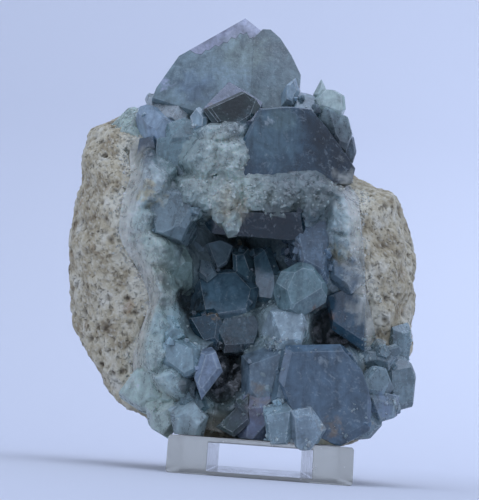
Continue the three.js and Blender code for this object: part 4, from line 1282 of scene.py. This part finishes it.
def per_metre(millimetres):
    """The scale of a pattern whose repeat is this long, on coordinates in metres."""
    return 1 / (millimetres * MM)


def paint(hex_colour):
    """An sRGB hex colour as a colour socket takes it."""
    return (*linear(hex_colour), 1)


def rim_stains():
    """Cream places strung along the rim, where rock turns to crystal."""
    stains = []
    for first, last in CREAM_ROWS:
        steps = int((last - first) * CREAM_STEPS) + 1
        for row in closed_curve(ROCK_OUTLINE, np.linspace(first, last, steps) / len(ROCK_OUTLINE)):
            stains.append((*drawn_in(row, HOLLOW, row[3]), row[4] - BED_THICK, CREAM_REACH, *CREAM))
    return stains


def with_stains_and_painted_light(tree, place, colour):
    """The colour with every stain laid over it, and the painted highlights and painted shade that stand
    among them: full well inside its reach, gone at one and a half times that, its edge broken up by
    noise of 5 mm lumps."""
    ragged = add(tree, "TexNoise", {"Scale": per_metre(5), "Detail": 4}, {"Vector": place}, "Color")
    shift = add(tree, "VectorMath", {1: (0.5, 0.5, 0.5)}, {0: ragged}, operation="SUBTRACT")
    moved = add(tree, "VectorMath", {1: (0.02, 0.02, 0.02)}, {0: shift, 2: place}, operation="MULTIPLY_ADD")
    for across, up, depth, reach, stain_and_light_colour, strength in (*STAINS_AND_PAINTED_LIGHT, *rim_stains()):
        middle = to_world(placed(across, up, depth))
        away = add(tree, "VectorMath", {1: middle}, {0: moved}, "Value", operation="DISTANCE")
        share = add(tree, "MapRange", {"From Min": reach * 0.4 * MM, "From Max": reach * 1.5 * MM,
                                       "To Min": strength, "To Max": 0},
                    {"Value": away}, interpolation_type="SMOOTHSTEP")
        colour = add(tree, "Mix", {"B": paint(stain_and_light_colour)}, {"Factor": share, "A": colour}, data_type="RGBA")
    return colour


def crystal_material(name, transmission, absorption, density):
    """Celestite: a body in the crystal's own colour, clear to frosted, with milky murk and veils in it.

    The murk is clouds of 9 and 2.4 mm and upright streaks 4 mm wide, darker and lighter. Veils are thin
    curved sheets, in patches, and flecks of 1.2 mm catch the light. The more frosted a face, the rougher
    and the more uneven it is, with lumps of 1.7 mm and an etch of 0.5 mm, and the more the light spreads
    under it.
    """
    material, tree = new_material(name)
    place = add(tree, "TexCoord", output="Object")
    tint = add(tree, "Attribute", attribute_name="tint")
    worn_and_glint, haze = (add(tree, "Attribute", output="Fac", attribute_name=name) for name in ("worn_and_glint", "haze"))
    upright = add(tree, "Mapping", {"Scale": (1, 1, 0.22)}, {"Vector": place})
    clouds, mottle, streaks, sheets, flecks, etch, lumps = (
        add(tree, "TexNoise", {"Scale": per_metre(size), "Detail": detail, "Roughness": rough,
                               "Distortion": twist}, {"Vector": vector})
        for size, detail, rough, twist, vector in (
            (9, 6, 0.66, 0.8, place), (2.4, 5, 0.7, 1.2, place), (4, 4, 0.6, 0.5, upright),
            (11, 5, 0.6, 1, place), (1.2, 4, 0.7, 0, place), (0.5, 2, 0.5, 0, place),
            (1.7, 4, 0.6, 0, place)))
    grown = add(tree, "Mix", {"Factor": 0.45}, {"A": clouds, "B": streaks}, data_type="FLOAT")
    wide = add(tree, "MapRange", {"From Min": 0.35, "From Max": 0.65, "To Min": 0.5, "To Max": 1.5},
               {"Value": grown})
    fine = add(tree, "MapRange", {"From Min": 0.3, "From Max": 0.7, "To Min": 0.72, "To Max": 1.4},
               {"Value": mottle})
    frosted = add(tree, "MapRange", {"To Min": 0.25}, {"Value": haze})
    flour = add(tree, "Mix", {"A": 1}, {"Factor": frosted, "B": fine}, data_type="FLOAT")
    murk = add(tree, "Math", None, {0: wide, 1: flour}, operation="MULTIPLY")
    body = add(tree, "VectorMath", None, {"Vector": with_stains_and_painted_light(tree, place, tint), "Scale": murk},
               operation="SCALE")
    beside = add(tree, "Math", {1: 0.5}, {0: sheets}, operation="SUBTRACT")
    near = add(tree, "Math", None, {0: beside}, operation="ABSOLUTE")
    sheet = add(tree, "MapRange", {"From Max": 0.035, "To Min": 1, "To Max": 0}, {"Value": near},
                interpolation_type="SMOOTHSTEP")
    patch = add(tree, "MapRange", {"From Min": 0.48, "From Max": 0.66, "To Max": 0.35}, {"Value": mottle})
    veil = add(tree, "Math", None, {0: sheet, 1: patch}, operation="MULTIPLY")
    brightest = add(tree, "MapRange", {"To Min": 0.05, "To Max": 0.8}, {"Value": haze})
    fleck = add(tree, "MapRange", {"From Min": 0.6, "From Max": 0.72},
                {"Value": flecks, "To Max": brightest})
    inner = add(tree, "Math", None, {0: veil, 1: fleck}, operation="MAXIMUM")
    # Worn edges turn pale in broken patches: frosted wear and a painted highlight.
    patchy_edges = add(tree, "MapRange", {"From Min": 0.4, "From Max": 0.56, "To Min": 0.25}, {"Value": mottle})
    edges = add(tree, "Math", None, {0: worn_and_glint, 1: patchy_edges}, operation="MULTIPLY")
    amount = add(tree, "Math", None, {0: inner, 1: edges}, operation="MAXIMUM")
    colour = add(tree, "Mix", {"B": paint("#CED9D9")}, {"Factor": amount, "A": body}, data_type="RGBA")
    relief = add(tree, "Mix", {"Factor": 0.7}, {"A": etch, "B": lumps}, data_type="FLOAT")
    uneven = add(tree, "MapRange", {"To Min": 0.1, "To Max": 0.85}, {"Value": haze})
    bump = add(tree, "Bump", {"Distance": 0.0006}, {"Height": relief, "Strength": uneven})
    dull = add(tree, "MapRange", {"To Min": 0.06, "To Max": 0.42}, {"Value": haze})
    rough = add(tree, "Math", None, {0: dull, 1: murk}, operation="MULTIPLY")
    spread = add(tree, "Math", {1: 0.7}, {0: haze}, operation="MULTIPLY")
    shader = add(tree, "BsdfPrincipled", {"IOR": 1.63, "Transmission Weight": transmission,
                                          "Subsurface Radius": (0.7, 0.9, 1.0), "Subsurface Scale": 0.003},
                 {"Base Color": colour, "Roughness": rough, "Normal": bump, "Subsurface Weight": spread})
    volume = add(tree, "VolumeAbsorption", {"Color": paint(absorption), "Density": density})
    add(tree, "OutputMaterial", None, {"Surface": shader, "Volume": volume})
    return material


# Clear celestite lets the light through; clouded celestite is milky inside and lets some through; the
# sugary crystals are too small to show through. Each: transmission, absorption colour and density.
CELESTITE = {"clear": (0.6, "#B4C4D6", 5), "clouded": (0.4, "#8AA3B4", 30), "sugary": (0.25, "#B7C5C8", 20)}


def celestite(finish):
    """One finish of celestite, made once: its faces as they grew in the hollow."""
    name = f"celestite_{finish}_grown"
    if name not in bpy.data.materials:
        crystal_material(name, *CELESTITE[finish])
    return bpy.data.materials[name]


def rock_material():
    """Weathered limestone, grown as a rind: matt and grainy, cream on its lumps, brown in its pits."""
    material, tree = new_material("limestone_weathered_rind")
    place = add(tree, "TexCoord", output="Object")
    pit, grain, rim = (add(tree, "Attribute", output="Fac", attribute_name=name)
                       for name in ("pit", "grain", "rim"))
    patches, specks, rust, fine = (
        add(tree, "TexNoise", {"Scale": per_metre(size), "Detail": detail, "Roughness": rough,
                               "Distortion": twist}, {"Vector": place})
        for size, detail, rough, twist in (
            (11, 6, 0.65, 0), (2.2, 5, 0.8, 0.6), (16, 5, 0.7, 0), (0.7, 4, 0.5, 0)))
    ground = add(tree, "ValToRGB", None, {"Fac": patches})
    ramp = ground.node.color_ramp
    for position, shade in ((0.34, "#94866D"), (0.44, "#B4A78B"), (0.53, "#CABFA3"), (0.66, "#DFD9C6")):
        stop = ramp.elements.new(position)
        stop.color = paint(shade)
    ramp.elements.remove(ramp.elements[0])
    ramp.elements.remove(ramp.elements[-1])
    dark = add(tree, "MapRange", {"From Max": 1.6, "To Max": 0.85}, {"Value": pit})
    speck = add(tree, "MapRange", {"From Min": 0.56, "From Max": 0.66, "To Max": 0.65}, {"Value": specks})
    rusty = add(tree, "MapRange", {"From Min": 0.6, "From Max": 0.74, "To Max": 0.5}, {"Value": rust})
    frosted = add(tree, "Math", {1: 0.85}, {0: rim}, operation="MULTIPLY")
    surface = ground
    for share, shade in ((grain, "#E2DDCB"), (dark, "#4E4235"), (speck, "#66563F"), (rusty, "#9A6B42"),
                         (frosted, "#E6E1CC")):
        surface = add(tree, "Mix", {"B": paint(shade)}, {"Factor": share, "A": surface}, data_type="RGBA")
    hollows = add(tree, "Math", {1: 1.4}, {0: speck}, operation="MULTIPLY")
    height = add(tree, "Math", None, {0: fine, 1: hollows}, operation="SUBTRACT")
    bump = add(tree, "Bump", {"Strength": 1.0, "Distance": 0.0005}, {"Height": height})
    shader = add(tree, "BsdfPrincipled", {"Roughness": 0.92, "Specular IOR Level": 0.3},
                 {"Base Color": surface, "Normal": bump})
    add(tree, "OutputMaterial", None, {"Surface": shader})
    return material


def acrylic_material():
    """Acrylic, sawn and flame-polished: clear, a little grey, with fine scratches from handling."""
    material, tree = new_material("acrylic_sawn_polished")
    place = add(tree, "TexCoord", output="Object")
    scuffs = add(tree, "TexNoise", {"Scale": per_metre(4), "Detail": 6, "Roughness": 0.7},
                 {"Vector": place})
    rough = add(tree, "MapRange", {"From Min": 0.4, "From Max": 0.7, "To Min": 0.06, "To Max": 0.3},
                {"Value": scuffs})
    bump = add(tree, "Bump", {"Strength": 0.15, "Distance": 0.0002}, {"Height": scuffs})
    shader = add(tree, "BsdfPrincipled",
                 {"Base Color": paint("#EDEBE2"), "IOR": 1.49, "Transmission Weight": 0.7},
                 {"Roughness": rough, "Normal": bump})
    depth = add(tree, "VolumeAbsorption", {"Color": paint("#C9CDC4"), "Density": 6})
    add(tree, "OutputMaterial", None, {"Surface": shader, "Volume": depth})
    return material


def paper_material(colour):
    """Matt paper, swept up behind the object: plain, with no gloss."""
    material, tree = new_material("paper_matt_sheet")
    shader = add(tree, "BsdfPrincipled", {"Base Color": (*colour, 1), "Roughness": 0.95,
                                          "Specular IOR Level": 0.1})
    add(tree, "OutputMaterial", None, {"Surface": shader})
    return material


class CelestiteSettings(bpy.types.PropertyGroup):
    """Sizes and colours that a user would change."""
    bevel: FloatProperty(name="Worn edges", description="Width of the wear on the crystals' edges",
                         default=0.00018, unit="LENGTH", min=0.00005, max=0.002)
    sugar_size: FloatProperty(name="Sugar size", description="Half width of the widest sugary crystal",
                              default=0.0011, unit="LENGTH", min=0.0003, max=0.004)
    relief: FloatProperty(name="Rock relief", description="Strength of the rind's lumps and pits",
                          default=1.0, min=0.0, max=2.0)
    stand_edge: FloatProperty(name="Stand edge", description="Rounding of the stand's edges",
                              default=0.0005, unit="LENGTH", min=0.0001, max=0.002)
    paper: FloatVectorProperty(name="Paper", description="Colour of the floor and backdrop",
                               subtype="COLOR", default=(0.71, 0.72, 0.77), min=0, max=1)
    daylight: FloatVectorProperty(name="Daylight", description="Colour of the light", subtype="COLOR",
                                  default=(0.66, 0.76, 1.0), min=0, max=1)


class CelestiteCrown(bpy.types.Operator):
    """The large crystals along the top, grown together and sticking out past the rind."""
    bl_idname = "celestite.crown"
    bl_label = "Crown crystals"

    def execute(self, context):
        bevel = context.scene.celestite.bevel / MM
        giant, tip = giant_solids(bevel, np.random.default_rng(47))
        crystal_piece("celestite_crown", "crown_crystals", CROWN, "crown", 11, bevel, giant)
        clear_piece(tip, bevel)
        return {"FINISHED"}


class CelestiteCrust(bpy.types.Operator):
    """The crust of crystals that lines the hollow and covers the front."""
    bl_idname = "celestite.crust"
    bl_label = "Hollow crust"

    def execute(self, context):
        bevel = context.scene.celestite.bevel / MM
        crystal_piece("celestite_crust", "hollow_crust", CRUST, "crust", 29, bevel, [])
        ground_piece()
        return {"FINISHED"}


class CelestiteRind(bpy.types.Operator):
    """The tan, pitted rock round the hollow and over the back."""
    bl_idname = "celestite.rind"
    bl_label = "Limestone rind"

    def execute(self, context):
        grid = rock_grid()
        flat = grid.reshape(-1, 3)
        height, pit, grain = rock_relief(flat)
        ragged = np.linalg.norm(grid - grid[ROCK_RINGS["bowl"] - 1], axis=-1).ravel()
        ragged = ragged + sum(share * smooth_noise(flat, size, seed) for share, size, seed in RIM_RAGGED)
        rim = np.clip(RIM_FULL - ragged / RIM_BAND, 0, 1)
        normals = -grid_normals(grid).reshape(-1, 3)
        normals *= np.sign((normals * unit(flat - placed(*HEART))).sum(1, keepdims=True).mean())
        flat = flat + normals * (height * context.scene.celestite.relief)[:, None]
        flat = np.clip(flat, BOX_LOW, BOX_HIGH)
        poles = np.stack([bowl_points(np.zeros(1), np.zeros(1), 0)[0],
                          back_points(np.zeros(1), np.ones(1))[0]])
        points = to_world(np.concatenate([flat, poles]))
        bare = mesh_object("rind_bare", points, wrapped_faces(len(grid), ROCK_COLUMNS))
        for name, values in (("pit", pit), ("grain", grain), ("rim", rim)):
            set_attribute(bare.data, name, "FLOAT", "POINT", np.concatenate([values, [0, 0]]))
        rind = finished(cleared("limestone_rind", bare), rock_material())
        rind.data.polygons.foreach_set("use_smooth", np.ones(len(rind.data.polygons), bool))
        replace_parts(rind, "matrix")
        return {"FINISHED"}


def sugar_piece(name, surface, share, most, largest, draw):
    """Tiny crystals crowded over a surface: a random place is kept as often as share says there."""
    form, faces = small_crystal_form()
    triangles, _, tints = surface
    spots, normals, chosen = scattered(triangles, most * SUGAR_TRIES, draw)
    keep = draw.random(len(spots)) < share(spots, chosen) * SUGAR_KEPT
    keep &= (normals * unit(EYE - spots)).sum(1) > SUGAR_FACING
    keep &= inside_cad(spots, SUGAR_CLEAR) & (normals[:, 2] > LOWEST_NORMAL)
    keep = np.flatnonzero(keep)[:most]
    spots, normals, chosen = spots[keep], normals[keep], chosen[keep]
    sizes = SUGAR_SMALLEST + (largest - SUGAR_SMALLEST) * draw.random(len(spots)) ** SUGAR_UNEVEN
    axes = unit(normals + draw.normal(0, SUGAR_TILT, spots.shape))
    turns = draw.uniform(0, math.pi, len(spots))
    points, all_faces = repeated(form, faces, spots, axes, turns, sizes)
    obj = mesh_object(name, to_world(points), all_faces)
    shades = SUGAR_TAKES_AFTER * tints[chosen] + (1 - SUGAR_TAKES_AFTER) * linear(LOOKS["sugar"][1])
    each, face = SUGAR_SPREAD
    shades = np.repeat(shades * (1 + draw.normal(0, each, (len(spots), 1))), len(faces), axis=0)
    shades *= 1 + draw.normal(0, face, (len(shades), 1))
    set_attribute(obj.data, "tint", "FLOAT_VECTOR", "FACE", np.clip(shades, 0, 1))
    set_attribute(obj.data, "haze", "FLOAT", "FACE", np.ones(len(shades)))
    obj.data.materials.append(celestite("sugary"))
    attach(obj, "root")


def rim_surface():
    """The rock's triangles beside the rim, in the cream's colour, and how close to the rim each is."""
    rock = bpy.data.objects["limestone_rind"]
    triangles, hazes, _ = surface_of(rock)
    rims = read(rock.data.attributes["rim"].data, "value", 1, np.float32)
    closeness = rims[read(rock.data.loop_triangles, "vertices", 3, int)].mean(1)
    beside = closeness > RIM_SUGAR_FROM
    tints = np.tile(linear(LOOKS["cream"][1]), (beside.sum(), 1))
    return (triangles[beside], hazes[beside], tints), closeness[beside]


class CelestiteSugar(bpy.types.Operator):
    """The small sugary crystals in the seams, on the ledge and along the rind's edge."""
    bl_idname = "celestite.sugar"
    bl_label = "Sugary crystals"

    def execute(self, context):
        largest = context.scene.celestite.sugar_size / MM
        draw = np.random.default_rng(71)
        for name, carrier in (("crown_sugar", "celestite_crown"), ("crust_sugar", "celestite_crust"),
                              ("ground_sugar", "frosted_ground")):
            surface = surface_of(bpy.data.objects[carrier])
            frosted = SUGAR_ON_FROST * (surface[1] > SUGAR_HAZE)
            sugar_piece(name, surface, lambda spots, chosen: np.maximum(zone_share(spots), frosted[chosen]),
                        SUGAR_MOST, largest, draw)
        surface, closeness = rim_surface()
        sugar_piece("rim_sugar", surface, lambda spots, chosen: closeness[chosen] ** RIM_CROWDED, RIM_SUGAR,
                    largest * RIM_SUGAR_SIZE, draw)
        return {"FINISHED"}


class CelestiteStand(bpy.types.Operator):
    """The clear block with a slot through it, its edges a little rounded."""
    bl_idname = "celestite.stand"
    bl_label = "Clear stand"

    def execute(self, context):
        work = bmesh.new()
        work.from_mesh(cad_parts["stand"].data)
        bmesh.ops.remove_doubles(work, verts=work.verts, dist=1e-6)
        bmesh.ops.dissolve_limit(work, angle_limit=math.radians(1), verts=work.verts, edges=work.edges)
        bmesh.ops.recalc_face_normals(work, faces=work.faces)
        bmesh.ops.bevel(work, geom=list(work.edges), offset=context.scene.celestite.stand_edge,
                        offset_type="OFFSET", segments=3, profile=0.5, affect="EDGES", clamp_overlap=True)
        mesh = bpy.data.meshes.new("clear_stand")
        work.to_mesh(mesh)
        work.free()
        obj = bpy.data.objects.new("clear_stand", mesh)
        context.scene.collection.objects.link(obj)
        kept_inside(obj)
        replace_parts(finished(obj, acrylic_material()), "stand")
        return {"FINISHED"}


# The paper lies flat from well in front of the stone to behind it, then rises in a quarter circle, and
# is 7 m wide. Metres.
PAPER_FRONT, PAPER_BACK = -1.6, 0.5
PAPER_BEND = 0.6
PAPER_TALL = 2.2
PAPER_HALF = 3.5
SKY_STRENGTH = 0.77

# Soft lights: where each is, what it faces, its size in metres, its power and how wide it fans out. The
# second one lights only the paper behind, from the right.
LIGHTS = {
    "window": ((0.45, -0.25, 2.1), (0, 0.1, 0.1), 1.8, 16, math.pi),
    "window_low": ((1.5, 0.5, 0.8), (0.5, 1.05, 0.3), 0.9, 2.2, math.radians(75)),
    "room": ((-1.3, -1.2, 0.9), (0, 0, 0.12), 1.2, 4, math.pi),
}


def paper_sweep():
    """The paper's profile from front to back, drawn out sideways: height over depth along a quarter
    circle, between a flat part and an upright one."""
    bend = np.linspace(0, math.pi / 2, 25)
    curve = [(PAPER_BACK + PAPER_BEND * math.sin(a), PAPER_BEND * (1 - math.cos(a))) for a in bend]
    profile = [(PAPER_FRONT, 0.0), *curve, (PAPER_BACK + PAPER_BEND, PAPER_TALL)]
    points = [(x, y, z) for x in (-PAPER_HALF, PAPER_HALF) for y, z in profile]
    count = len(profile)
    faces = [(i, i + count, i + count + 1, i + 1) for i in range(count - 1)]
    mesh = bpy.data.meshes.new("paper_sweep")
    mesh.from_pydata(points, [], faces)
    mesh.polygons.foreach_set("use_smooth", np.ones(len(faces), bool))
    paper = bpy.data.objects.new("paper_sweep", mesh)
    bpy.context.scene.collection.objects.link(paper)
    return paper


def area_light(name, place, aim, size, power, beam, colour):
    """A soft square light, turned to face a point, its light fanned out over the beam's angle."""
    data = bpy.data.lights.new(name, "AREA")
    data.shape = "SQUARE"
    data.size = size
    data.energy = power
    data.spread = beam
    data.color = colour
    obj = bpy.data.objects.new(name, data)
    obj.location = place
    obj.rotation_euler = (Vector(aim) - Vector(place)).to_track_quat("-Z", "Y").to_euler()
    bpy.context.scene.collection.objects.link(obj)


class CelestiteStage(bpy.types.Operator):
    """The camera at the photograph's angle, the swept paper, and soft daylight."""
    bl_idname = "celestite.stage"
    bl_label = "Stage"

    def execute(self, context):
        settings = context.scene.celestite
        data = bpy.data.cameras.new("front")
        data.sensor_fit = "VERTICAL"
        data.sensor_height = SENSOR
        data.lens = SENSOR * LENS_REACH / PICTURE_HEIGHT
        data.clip_start = 0.01
        camera = bpy.data.objects.new("front", data)
        turn = Matrix([[RIGHT[i], UP[i], -AWAY[i]] for i in range(3)]).to_4x4()
        camera.matrix_world = Matrix.Translation(Vector(to_world(EYE))) @ turn
        context.scene.collection.objects.link(camera)
        context.scene.camera = camera

        paper = paper_sweep()
        paper.data.materials.append(paper_material(settings.paper))

        world = bpy.data.worlds.new("soft_daylight")
        world.use_nodes = True
        context.scene.world = world
        background = world.node_tree.nodes["Background"]
        background.inputs["Color"].default_value = (*settings.daylight, 1)
        background.inputs["Strength"].default_value = SKY_STRENGTH
        for name, values in LIGHTS.items():
            area_light(name, *values, settings.daylight)
        context.scene.view_settings.view_transform = "Standard"
        return {"FINISHED"}


PIECES = (CelestiteCrown, CelestiteCrust, CelestiteRind, CelestiteSugar, CelestiteStand, CelestiteStage)


class CelestitePanel(bpy.types.Panel):
    """Lists the pieces and the stage in the sidebar."""
    bl_idname = "VIEW3D_PT_celestite"
    bl_label = "Celestite cluster"
    bl_space_type = "VIEW_3D"
    bl_region_type = "UI"
    bl_category = "Celestite"

    def draw(self, context):
        for name in CelestiteSettings.__annotations__:
            self.layout.prop(context.scene.celestite, name)
        for piece in PIECES:
            self.layout.operator(piece.bl_idname)


CLASSES = (CelestiteSettings, *PIECES, CelestitePanel)


def register():
    for item in CLASSES:
        bpy.utils.register_class(item)
    bpy.types.Scene.celestite = PointerProperty(type=CelestiteSettings)


def unregister():
    del bpy.types.Scene.celestite
    for item in reversed(CLASSES):
        bpy.utils.unregister_class(item)


def main():
    register()
    bpy.ops.celestite.stage()
    bpy.ops.celestite.crown()
    bpy.ops.celestite.crust()
    bpy.ops.celestite.rind()
    bpy.ops.celestite.sugar()
    bpy.ops.celestite.stand()


if __name__ == "__main__":
    main()
